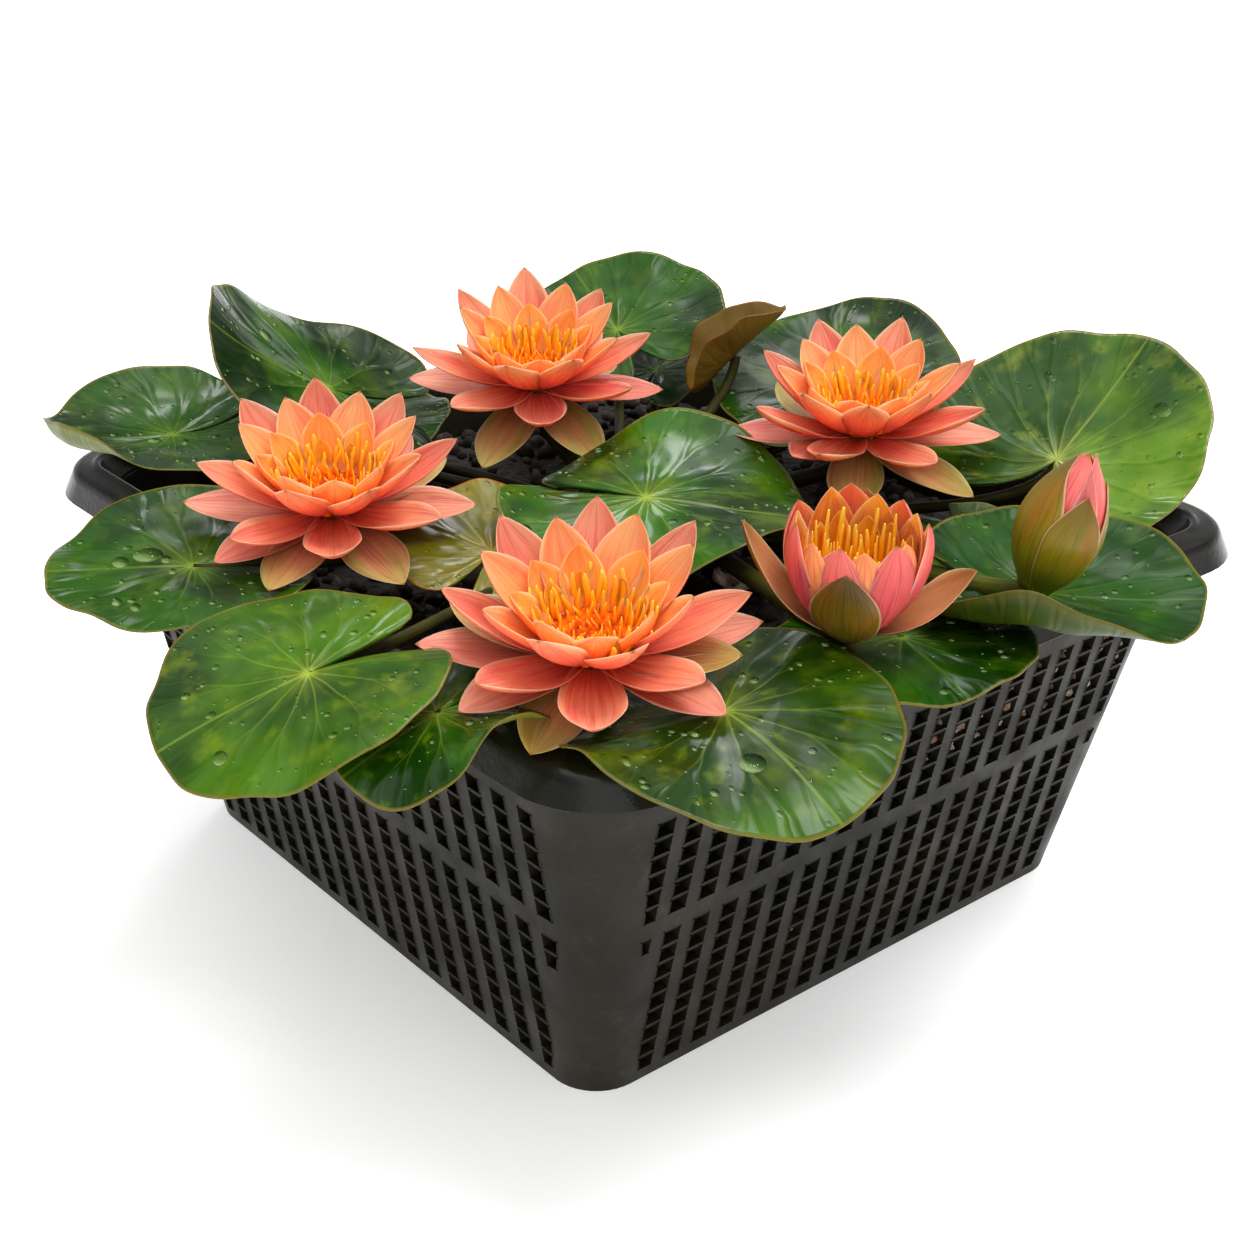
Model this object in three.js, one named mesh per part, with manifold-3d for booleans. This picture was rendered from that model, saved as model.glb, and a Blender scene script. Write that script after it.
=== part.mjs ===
// Dwarf water lily growing in a square lattice planting basket.
// Millimetres, +Z up, origin at the centre of the basket's underside.
import * as THREE from 'three';
import { mergeVertices } from 'three/addons/utils/BufferGeometryUtils.js';
import Module from 'manifold-3d';

const wasm = await Module();
wasm.setup();

// ---------------------------------------------------------------- driving dimensions
const basketHeight = 100.6;
const bottomHalf = [86, 81];
const wallTopHalf = [108.5, 97.2];
const wallTopZ = 98.6;
const rimHalf = [115, 103.6];
const rimWidth = 7.7;
const rimBevel = 1;
const skirtBottomZ = 93.4;
const skirtFlare = 2.7;
const skirtThickness = 1.8;
const wallThickness = 2;
const floorThickness = 2.4;
const bottomCornerRadius = 12;
const wallCornerRadius = 20;
const rimCornerRadius = 19.5;
const arcSteps = 3;

const slotWidth = 4.3;
const columnsEachSide = 9;
const columnPitch = [9.17, 8.27];
const upperTier = [51.2, 78.8];
const lowerTier = [3.6, 45.6];

const clearance = 0.3;
const soilTopZ = 86;
const soilEdgeZ = 83;
const soilPlateau = 56;
const soilPlateauRadius = 28;
const crownRadius = 14;
const crownSteps = 3;
const crownSides = 12;

const leafThickness = 0.9;
const leafFacetLength = 17;
const leafRings = [0.55, 1];
const lobeTurn = 26;
const lobeDepth = 0.28;
const tipStretch = 0.05;
const cleftMouth = 0.65;
const leafStalkRadius = 1.4;
const flowerStalkRadius = 2.1;
const stalkSides = 4;
const stalkSteps = 5;
const stalkFirstRise = 7;
const seatSlack = 0.1;

// The side of the basket's near corner, which every flower's petal angles are counted from.
const frontAngle = -39;

// ---------------------------------------------------------------- solids from points
const radians = THREE.MathUtils.degToRad;

function manifoldOf(points, triangles) {
  const vertProperties = new Float32Array(points.flatMap((p) => [p.x, p.y, p.z]));
  const triVerts = new Uint32Array(triangles.flat());
  return new wasm.Manifold(new wasm.Mesh({ numProp: 3, vertProperties, triVerts }));
}

function geometryOf(solid) {
  const mesh = solid.getMesh();
  const geometry = new THREE.BufferGeometry();
  geometry.setAttribute('position', new THREE.BufferAttribute(new Float32Array(mesh.vertProperties), 3));
  geometry.setIndex(new THREE.BufferAttribute(new Uint32Array(mesh.triVerts), 1));
  return geometry;
}

// Gives an open sheet of triangles a thickness, with walls along its free edges. offset gives the
// way from a point to its twin on the other side.
function thicken(points, triangles, offset) {
  const count = points.length;
  const edges = new Set();
  for (const [a, b, c] of triangles) {
    for (const [p, q] of [[a, b], [b, c], [c, a]]) edges.add(`${p},${q}`);
  }
  const all = [...points, ...points.map((point) => point.clone().add(offset(point)))];
  const faces = [...triangles];
  for (const [a, b, c] of triangles) faces.push([a + count, c + count, b + count]);
  for (const edge of edges) {
    const [p, q] = edge.split(',').map(Number);
    if (edges.has(`${q},${p}`)) continue;
    faces.push([q, p, p + count], [q, p + count, q + count]);
  }
  return manifoldOf(all, faces);
}

// Joins closed loops of equally many points into one skin and caps both ends.
function loft(loops) {
  const size = loops[0].length;
  const points = loops.flat();
  const faces = [];
  for (let level = 0; level < loops.length - 1; level += 1) {
    for (let i = 0; i < size; i += 1) {
      const a = level * size + i;
      const b = level * size + ((i + 1) % size);
      faces.push([a, b, b + size], [a, b + size, a + size]);
    }
  }
  const last = (loops.length - 1) * size;
  for (let i = 1; i < size - 1; i += 1) {
    faces.push([0, i + 1, i], [last, last + i, last + i + 1]);
  }
  return manifoldOf(points, faces);
}

function roundedLoop(halfX, halfY, radius, z) {
  const corners = [[1, 1, 0], [-1, 1, 90], [-1, -1, 180], [1, -1, 270]];
  return corners.flatMap(([signX, signY, start]) => {
    const loop = [];
    for (let step = 0; step <= arcSteps; step += 1) {
      const angle = radians(start + (90 * step) / arcSteps);
      const x = signX * (halfX - radius) + radius * Math.cos(angle);
      const y = signY * (halfY - radius) + radius * Math.sin(angle);
      loop.push(new THREE.Vector3(x, y, z));
    }
    return loop;
  });
}

// ---------------------------------------------------------------- basket and soil
function wallHalfAt(z) {
  const share = z / wallTopZ;
  return bottomHalf.map((bottom, axis) => bottom + (wallTopHalf[axis] - bottom) * share);
}

function wallLoop(z, inset, radius) {
  const [halfX, halfY] = wallHalfAt(z);
  return roundedLoop(halfX - inset, halfY - inset, radius, z);
}

function rimLoop(inset, radius, z) {
  return roundedLoop(rimHalf[0] - inset, rimHalf[1] - inset, radius, z);
}

function cutterBox(sizeX, sizeY, [low, high], x, y) {
  const box = new THREE.BoxGeometry(sizeX, sizeY, high - low);
  box.translate(x, y, (low + high) / 2);
  return solidOf(box);
}

function solidOf(geometry) {
  const bare = geometry.clone();
  bare.deleteAttribute('normal');
  bare.deleteAttribute('uv');
  const merged = mergeVertices(bare, 1e-4);
  const position = merged.attributes.position;
  const points = [];
  for (let i = 0; i < position.count; i += 1) {
    points.push(new THREE.Vector3().fromBufferAttribute(position, i));
  }
  const index = Array.from(merged.index.array);
  const faces = [];
  for (let i = 0; i < index.length; i += 3) {
    const face = index.slice(i, i + 3);
    if (new Set(face).size === 3) faces.push(face);
  }
  return manifoldOf(points, faces);
}

function makeBasket() {
  let basket = loft([
    wallLoop(0, 0, bottomCornerRadius),
    wallLoop(wallTopZ, 0, wallCornerRadius),
    rimLoop(skirtThickness, rimCornerRadius - skirtThickness, wallTopZ),
    rimLoop(skirtThickness - skirtFlare, rimCornerRadius, skirtBottomZ),
    rimLoop(-skirtFlare, rimCornerRadius + skirtFlare, skirtBottomZ),
    rimLoop(0, rimCornerRadius, basketHeight - rimBevel),
    rimLoop(rimBevel, rimCornerRadius - rimBevel, basketHeight),
    rimLoop(rimWidth, rimCornerRadius - rimWidth, basketHeight),
    wallLoop(wallTopZ - rimBevel, wallThickness, wallCornerRadius - wallThickness),
    wallLoop(floorThickness, wallThickness, bottomCornerRadius - wallThickness),
  ]);
  for (const [tier, reach] of [[upperTier, columnsEachSide], [lowerTier, columnsEachSide - 1]]) {
    for (let column = -reach; column <= reach; column += 1) {
      const alongX = column * columnPitch[0];
      const alongY = column * columnPitch[1];
      basket = basket.subtract(cutterBox(slotWidth, 3 * rimHalf[1], tier, alongX, 0));
      basket = basket.subtract(cutterBox(3 * rimHalf[0], slotWidth, tier, 0, alongY));
    }
  }
  return basket;
}

function makeSoil() {
  const inset = wallThickness + clearance;
  return loft([
    wallLoop(floorThickness + clearance, inset, bottomCornerRadius - wallThickness),
    wallLoop(soilEdgeZ, inset, wallCornerRadius - inset),
    roundedLoop(soilPlateau, soilPlateau, soilPlateauRadius, soilTopZ),
  ]);
}

// The rhizome crown: a low dome on the soil, with the stalks round it.
function makeCrown() {
  const profile = [new THREE.Vector2(0, 0)];
  for (let step = 0; step < crownSteps; step += 1) {
    const angle = radians((90 * step) / crownSteps);
    profile.push(new THREE.Vector2(crownRadius * Math.cos(angle), crownRadius * Math.sin(angle)));
  }
  profile.push(new THREE.Vector2(0, crownRadius));
  const dome = new THREE.LatheGeometry(profile, crownSides);
  dome.rotateX(Math.PI / 2);
  dome.translate(0, 0, soilTopZ + clearance);
  return solidOf(dome);
}

// ---------------------------------------------------------------- leaves
// hub: where the stalk meets the blade. heading: the way the tip points. pitch lifts the tip and
// roll lifts the left side. notch: half the angle of the cleft. cup and saddle bend the blade, as
// shares of its radius; wave ripples it, in mm. narrow: how far a young leaf is rolled in.
// root: angle and height of the stalk on the crown, in degrees. via: see makeStalk.
const leaves = {
  left_mid: { hub: [-15, -113, 105], heading: 240, pitch: 2, roll: -6, radius: 31, notch: 8, cup: 0.05,
    saddle: [-0.07, 12], wave: [1.5, 0], root: [272, 20], via: [0.75, 103, 14] },
  left_back: { hub: [-79, -84, 112], heading: 252, pitch: 1, roll: -4, radius: 31, notch: 11, cup: 0.15,
    saddle: [-0.03, -30], wave: [2.5, -25], root: [228, 20], via: [0.93, 97, 0] },
  back_tip: { hub: [-65, -46, 120], heading: 259, pitch: 28, roll: -20, radius: 36, notch: 8, cup: 0.09,
    saddle: [0.04, 0], wave: [-4, -28], root: [214, 24], via: [0.97, 93, 0] },
  back_left: { hub: [-82, -37, 104], heading: 143, pitch: 7, roll: 2, radius: 33, notch: 9, cup: 0.06,
    saddle: [0.03, 20], wave: [3, 13], root: [200, 20], via: [0.93, 95, 0] },
  back_top: { hub: [-58, 45, 120], heading: 163, pitch: 13, roll: -18, radius: 32, notch: 9, cup: 0.05,
    saddle: [0, 0], wave: [-1.5, -14], root: [145, 48], via: [0.95, 100, 0] },
  back_inner: { hub: [-56, 58, 106], heading: 122, pitch: 11, roll: -11, radius: 24, notch: 9, cup: 0.04,
    saddle: [0.02, 0], wave: [2.5, 40], root: [128, 20], via: [0.93, 95, 0] },
  back_right: { hub: [1, 74, 114], heading: 133, pitch: 18, roll: -3, radius: 34, notch: 9, cup: 0.03,
    saddle: [0.03, -24], wave: [-2.5, 0], root: [90, 20], via: [0.93, 96, 0] },
  right_tall: { hub: [79, 71, 114], heading: 87, pitch: 36, roll: 5, radius: 37, notch: 45, cup: 0.1,
    saddle: [-0.02, 0], wave: [-0.7, 0], root: [42, 20], via: [0.95, 95, 0] },
  right_low: { hub: [120, 17, 108], heading: 37, pitch: 0, roll: 3, radius: 32, notch: 12, cup: 0.14,
    saddle: [-0.09, 0], wave: [2, 0], root: [10, 20], via: [0.8, 103, 0] },
  right_front: { hub: [113, -19, 106], heading: -19, pitch: 2, roll: 1, radius: 27, notch: 10, cup: -0.02,
    saddle: [-0.03, 0], wave: [1, 0], root: [-12, 20], via: [0.8, 102.8, 4] },
  front_right: { hub: [114, -69, 106], heading: -5, pitch: 0, roll: 5, radius: 33, notch: 16, cup: -0.1,
    saddle: [-0.17, 12], wave: [2, 0], root: [-34, 20], via: [0.8, 102.8, -10] },
  front_small: { hub: [80, -112, 106], heading: 273, pitch: -8, roll: 6, radius: 22, notch: 10, cup: -0.07,
    saddle: [-0.06, 0], wave: [-5, -12], root: [-52, 16], via: [0.8, 103, 0] },
  front_left: { hub: [55, -125, 109], heading: 254, pitch: -15, roll: -7, radius: 31, notch: 14, cup: -0.04,
    saddle: [-0.09, 32], wave: [-0.6, 60], root: [-68, 14], via: [0.75, 103, 4] },
  centre: { hub: [31, -19, 112], heading: 31, pitch: 0, roll: 8, radius: 37, notch: 11, cup: -0.02,
    saddle: [0, 0], wave: [-6, 0], root: [-30, 78], via: [0.8, 104, 0] },
  olive: { hub: [19, -55, 104], heading: 118, pitch: 12, roll: 13, radius: 24, notch: 9, cup: 0,
    saddle: [0, 0], wave: [1, 0], young: true, root: [-76, 48], via: [0.9, 98, 0] },
  bronze: { hub: [-18, 53, 121], heading: 60, pitch: 43, roll: 0, radius: 18, notch: 8, cup: 0.25,
    saddle: [-0.3, 0], wave: [0, 0], narrow: 0.5, young: true, root: [108, 48], via: [0.9, 104, 0] },
  right_inner: { hub: [81, 37, 103], heading: -20, pitch: -4, roll: 0, radius: 18, notch: 9, cup: 0.03,
    saddle: [0.04, 0], wave: [1, 30], root: [26, 14], via: [0.93, 94, 0] },
};

function leafAxes({ heading, pitch, roll }) {
  const [yaw, lift, bank] = [heading, pitch, roll].map(radians);
  const tip = new THREE.Vector3(
    Math.cos(yaw) * Math.cos(lift), Math.sin(yaw) * Math.cos(lift), Math.sin(lift));
  const level = new THREE.Vector3(-Math.sin(yaw), Math.cos(yaw), 0);
  const above = tip.clone().cross(level);
  const side = level.multiplyScalar(Math.cos(bank)).addScaledVector(above, Math.sin(bank));
  return { tip, side, normal: tip.clone().cross(side) };
}

// Lobes are rounded where the margin meets the cleft.
function marginRadius(leaf, angle) {
  const open = Math.min(Math.max((180 - leaf.notch - Math.abs(angle)) / lobeTurn, 0), 1);
  const lobe = 1 - lobeDepth + lobeDepth * Math.sqrt(1 - (1 - open) ** 2);
  return leaf.radius * lobe * (1 + tipStretch * Math.cos(radians(angle)));
}

function bladeHeight(leaf, reach, angle) {
  const [bend, direction] = leaf.saddle;
  const [ripple, phase] = leaf.wave;
  const saddle = bend * Math.cos(radians(2 * (angle - direction)));
  return leaf.radius * (leaf.cup + saddle) * reach ** 2
    + ripple * reach ** 3 * Math.sin(radians(3 * angle + phase));
}

// reach: 0 at the hub to 1 at the margin. across: -1 to 1, from one side of the cleft to the other.
function bladePoint(leaf, axes, reach, across) {
  const angle = across * (180 - leaf.notch * (1 - cleftMouth + cleftMouth * reach));
  const distance = reach * marginRadius(leaf, across * (180 - leaf.notch));
  return new THREE.Vector3(...leaf.hub)
    .addScaledVector(axes.tip, distance * Math.cos(radians(angle)))
    .addScaledVector(axes.side, distance * Math.sin(radians(angle)) * (leaf.narrow ?? 1))
    .addScaledVector(axes.normal, bladeHeight(leaf, reach, angle));
}

function makeLeaf(leaf) {
  const axes = leafAxes(leaf);
  const sectors = Math.round((2 * Math.PI * leaf.radius) / leafFacetLength);
  const points = [new THREE.Vector3(...leaf.hub)];
  for (const reach of leafRings) {
    for (let i = 0; i <= sectors; i += 1) {
      points.push(bladePoint(leaf, axes, reach, -1 + (2 * i) / sectors));
    }
  }
  const row = sectors + 1;
  const faces = [];
  for (let i = 1; i <= sectors; i += 1) {
    faces.push([0, i, i + 1], [i, i + row, i + row + 1], [i, i + row + 1, i + 1]);
  }
  return thicken(points, faces, () => axes.normal.clone().multiplyScalar(-leafThickness));
}

// ---------------------------------------------------------------- stalks
function direction(angle, rise) {
  const [turn, lift] = [radians(angle), radians(rise)];
  return new THREE.Vector3(
    Math.cos(turn) * Math.cos(lift), Math.sin(turn) * Math.cos(lift), Math.sin(lift));
}

// The stalk leaves the crown at root, runs low towards its via point and rises to its end. via is
// how far along that point lies, its height, and how far it lies to the left of the straight way.
function makeStalk(end, root, via, radius) {
  const away = direction(...root);
  const start = new THREE.Vector3(0, 0, soilTopZ + clearance)
    .addScaledVector(away, crownRadius + clearance);
  const route = new THREE.CubicBezierCurve3(
    start,
    start.clone().addScaledVector(away, stalkFirstRise / away.z),
    viaPoint(start, end, via),
    end);
  const section = new THREE.Shape();
  for (let i = 0; i < stalkSides; i += 1) {
    const angle = (2 * Math.PI * i) / stalkSides;
    const method = i === 0 ? 'moveTo' : 'lineTo';
    section[method](radius * Math.cos(angle), radius * Math.sin(angle));
  }
  section.closePath();
  return solidOf(new THREE.ExtrudeGeometry(section, {
    steps: stalkSteps, extrudePath: route, bevelEnabled: false }));
}

function viaPoint(start, end, [share, height, aside]) {
  const way = end.clone().sub(start).setZ(0);
  const left = new THREE.Vector3(-way.y, way.x, 0).normalize();
  return start.clone().addScaledVector(way, share).addScaledVector(left, aside).setZ(height);
}

// Ends a stalk just under a face, low enough for its slanting end to clear the face.
function seatedStalk(seat, normal, root, via, radius, extra) {
  const arrival = seat.clone().sub(viaPoint(new THREE.Vector3(), seat, via)).normalize();
  const tilt = radius * Math.sqrt(Math.max(0, 1 - arrival.dot(normal) ** 2));
  const end = seat.clone().addScaledVector(normal, -(clearance + tilt + seatSlack));
  return makeStalk(end, root, via, radius + extra);
}

function leafStalk(leaf, extra = 0) {
  const { normal } = leafAxes(leaf);
  const seat = new THREE.Vector3(...leaf.hub).addScaledVector(normal, -leafThickness);
  return seatedStalk(seat, normal, leaf.root, leaf.via, leafStalkRadius, extra);
}

function leaning([toward, tilt]) {
  const axis = new THREE.Vector3(-Math.sin(radians(toward)), Math.cos(radians(toward)), 0);
  return new THREE.Quaternion().setFromAxisAngle(axis, radians(tilt));
}

function flowerStalk(flower, extra = 0) {
  const up = new THREE.Vector3(0, 0, 1).applyQuaternion(leaning(flower.lean));
  const seat = new THREE.Vector3(...flower.base);
  return seatedStalk(seat, up, flower.root, flower.via, flowerStalkRadius, extra);
}

// ---------------------------------------------------------------- flowers
// A ring of petals: how many and the angle of the first, their length, half their width, where they
// start, and how steeply they rise at the base and at the tip. Neighbours part at the cleft, a share
// of the length.
const petalRings = {
  open: [
    { count: 8, first: 0, length: 26, halfWidth: 5.4, start: [5, 2.6], rise: [4, 32], cleft: 0.26 },
    { count: 8, first: 22.5, length: 26.5, halfWidth: 5, start: [4.5, 4.2], rise: [20, 46], cleft: 0.3 },
    { count: 5, first: 10, length: 21, halfWidth: 5, start: [4, 6], rise: [34, 64], cleft: 0.4 },
  ],
  cup: [
    { count: 7, first: 0, length: 31, halfWidth: 6.4, start: [5, 3.1], rise: [30, 106], cleft: 0.5 },
  ],
};
const sepalShape = {
  open: { length: 30, halfWidth: 5.4, start: [3, 1.2] },
  cup: { length: 28, halfWidth: 6.6, start: [5, 1.1] },
};
const sepalBaseShare = 0.5;
// The stamens and inner petals round the middle, as one core on the receptacle.
const heart = {
  open: { radius: 8, height: 16.6 },
  cup: { radius: 8, height: 19.6 },
};
const heartSides = 6;
const receptacleRadius = 6;
const receptacleTop = 6.6;
const petalThickness = 0.9;
const petalWidest = 0.6;

// base: where the stalk's axis meets the flower. lean: the way the flower leans, and how far.
// turn: degrees added to its petals. sepals: the angle of each, counted from the near corner.
// sepalRise: how steeply they rise at the base and at the tip.
const flowers = {
  left: { form: 'open', lean: [-39, 12], base: [-9, -80, 110.4], turn: 8, sepals: [-13, 30, 130, 215],
    sepalRise: [1, 4], root: [256, 48], via: [0.97, 98, 0] },
  back: { form: 'open', lean: [-39, 12], base: [-33, -1, 117.4], turn: 4, sepals: [-19, 24, 140, 225],
    sepalRise: [-11, -8], root: [185, 48], via: [0.95, 104, 0] },
  right: { form: 'open', lean: [-39, 8], base: [42, 41, 115.4], turn: 20, sepals: [80, 150, 215, 290],
    sepalRise: [0, 6], root: [45, 48], via: [0.96, 100, 0] },
  front: { form: 'open', lean: [-39, 12], base: [87, -80, 109.4], turn: 0, sepals: [-16, 75, 160, 250],
    sepalRise: [15, 19], root: [-47, 48], via: [0.98, 96, 0] },
  cup: { form: 'cup', lean: [-39, 4], base: [110, -31, 109.4], turn: 26, sepals: [-96, -12, 82, 175],
    sepalRise: [24, 92], root: [-16, 48], via: [0.92, 103, 0] },
};
const bud = { base: [124, 11, 112], height: 33, radius: 10.2, lean: [51, 17],
  root: [14, 48], via: [0.9, 103.8, 0] };
// Radius and height along the bud, as shares of the whole.
const budOutline = [
  [0, 0], [0.4, 0.01], [0.8, 0.2], [1, 0.42], [0.92, 0.62], [0.6, 0.82], [0.25, 0.95], [0, 1]];
const budSides = 8;

// share: 0 at the petal's base to 1 at its tip, along a curve that bends evenly. Gives the point
// on the petal's midline, moved sideways by across.
function petalPoint({ length, start, rise }, angle, share, across = 0) {
  const [low, high] = rise.map(radians);
  const now = low + (high - low) * share;
  const out = start[0] + (length * (Math.sin(now) - Math.sin(low))) / (high - low);
  const up = start[1] + (length * (Math.cos(low) - Math.cos(now))) / (high - low);
  const turn = radians(frontAngle + angle);
  return new THREE.Vector3(
    out * Math.cos(turn) - across * Math.sin(turn),
    out * Math.sin(turn) + across * Math.cos(turn),
    up);
}

// Outwards and down, so that steep petals have a thickness too.
function petalOffset(point) {
  const share = petalThickness * Math.SQRT1_2;
  return new THREE.Vector3(point.x, point.y, 0).setLength(share).setZ(-share);
}

// One skin for a ring of petals that grow together at their bases.
function makeRing(ring, turn) {
  const step = 360 / ring.count;
  const points = [];
  const faces = [];
  for (let i = 0; i < ring.count; i += 1) {
    const angle = ring.first + turn + i * step;
    points.push(
      petalPoint(ring, angle, 0),
      petalPoint(ring, angle + step / 2, ring.cleft),
      petalPoint(ring, angle, petalWidest, -ring.halfWidth),
      petalPoint(ring, angle, petalWidest, ring.halfWidth),
      petalPoint(ring, angle, 1));
    const [base, cleft, right, left, tip] = [0, 1, 2, 3, 4].map((k) => 5 * i + k);
    const before = 5 * ((i + ring.count - 1) % ring.count) + 1;
    const nextBase = 5 * ((i + 1) % ring.count);
    faces.push([base, cleft, nextBase], [base, before, cleft], [before, right, cleft],
      [right, left, cleft], [right, tip, left]);
  }
  return thicken(points, faces, petalOffset);
}

function makeSepal(shape, rise, angle) {
  const sepal = { ...shape, rise };
  const base = sepalBaseShare * shape.halfWidth;
  const points = [
    petalPoint(sepal, angle, 0, -base), petalPoint(sepal, angle, 0, base),
    petalPoint(sepal, angle, petalWidest, -shape.halfWidth),
    petalPoint(sepal, angle, petalWidest, shape.halfWidth),
    petalPoint(sepal, angle, 1)];
  return thicken(points, [[0, 2, 3], [0, 3, 1], [2, 4, 3]], petalOffset);
}

function makeFlower(flower) {
  const { radius, height } = heart[flower.form];
  const profile = [
    [0, 0], [receptacleRadius, 0], [receptacleRadius, receptacleTop], [radius, height], [0, height]];
  const core = new THREE.LatheGeometry(profile.map(([r, z]) => new THREE.Vector2(r, z)), heartSides);
  core.rotateX(Math.PI / 2);
  let solid = solidOf(core);
  for (const ring of petalRings[flower.form]) solid = solid.add(makeRing(ring, flower.turn));
  for (const angle of flower.sepals) {
    solid = solid.add(makeSepal(sepalShape[flower.form], flower.sepalRise, angle));
  }
  return placed(solid, flower);
}

function placed(solid, { base, lean }) {
  const matrix = new THREE.Matrix4().makeRotationFromQuaternion(leaning(lean));
  return solid.transform(matrix.setPosition(...base).elements);
}

function makeBud() {
  const profile = budOutline.map(([r, z]) => new THREE.Vector2(r * bud.radius, z * bud.height));
  const shape = new THREE.LatheGeometry(profile, budSides);
  shape.rotateX(Math.PI / 2);
  return placed(solidOf(shape), bud);
}

// ---------------------------------------------------------------- materials and the object
const matte = (color, roughness) => new THREE.MeshStandardMaterial({ color, roughness, metalness: 0 });
const materials = {
  basket: matte(0x2b2a28, 0.5),
  soil: matte(0x2a2019, 0.95),
  crown: matte(0x4a3a22, 0.8),
  leaf: matte(0x2f6b2a, 0.3),
  youngLeaf: matte(0x7d6a2c, 0.3),
  stalk: matte(0x5d6a2c, 0.5),
  petal: matte(0xf08058, 0.5),
  bud: matte(0x8a7a3a, 0.5),
};

const lily = new THREE.Group();

function add(name, solid, material) {
  const mesh = new THREE.Mesh(geometryOf(solid), material);
  mesh.name = name;
  lily.add(mesh);
}

add('basket', makeBasket(), materials.basket);
add('soil', makeSoil(), materials.soil);
add('crown', makeCrown(), materials.crown);

// Blades part round the stalks that rise past them.
const room = [
  ...Object.values(leaves).map((leaf) => leafStalk(leaf, clearance)),
  ...[...Object.values(flowers), bud].map((flower) => flowerStalk(flower, clearance)),
];
for (const [name, leaf] of Object.entries(leaves)) {
  const blade = room.reduce((solid, stalk) => solid.subtract(stalk), makeLeaf(leaf));
  add(`leaf_${name}`, blade, leaf.young ? materials.youngLeaf : materials.leaf);
  add(`leaf_stalk_${name}`, leafStalk(leaf), materials.stalk);
}
for (const [name, flower] of Object.entries(flowers)) {
  add(`flower_${name}`, makeFlower(flower), materials.petal);
  add(`flower_stalk_${name}`, flowerStalk(flower), materials.stalk);
}
add('bud', makeBud(), materials.bud);
add('bud_stalk', flowerStalk(bud), materials.stalk);

export default lily;
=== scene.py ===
import math

import bmesh
import bpy
import numpy as np
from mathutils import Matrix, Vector


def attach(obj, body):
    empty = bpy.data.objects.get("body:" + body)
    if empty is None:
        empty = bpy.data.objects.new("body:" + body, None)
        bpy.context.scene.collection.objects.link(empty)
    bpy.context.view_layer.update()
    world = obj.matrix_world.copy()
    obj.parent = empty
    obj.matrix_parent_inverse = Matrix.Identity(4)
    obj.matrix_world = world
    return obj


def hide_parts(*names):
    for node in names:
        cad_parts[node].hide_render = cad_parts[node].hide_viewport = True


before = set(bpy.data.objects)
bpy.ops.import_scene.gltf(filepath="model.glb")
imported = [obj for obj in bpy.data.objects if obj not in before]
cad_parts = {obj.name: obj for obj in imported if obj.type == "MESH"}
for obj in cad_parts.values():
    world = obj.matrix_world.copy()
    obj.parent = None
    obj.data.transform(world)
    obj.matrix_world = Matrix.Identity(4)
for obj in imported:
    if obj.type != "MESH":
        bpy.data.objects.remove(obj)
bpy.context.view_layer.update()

# Dwarf water lily in a lattice basket. Shapes are worked out in millimetres and written in metres.
MM = 0.001
TAU = 2 * math.pi


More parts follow.
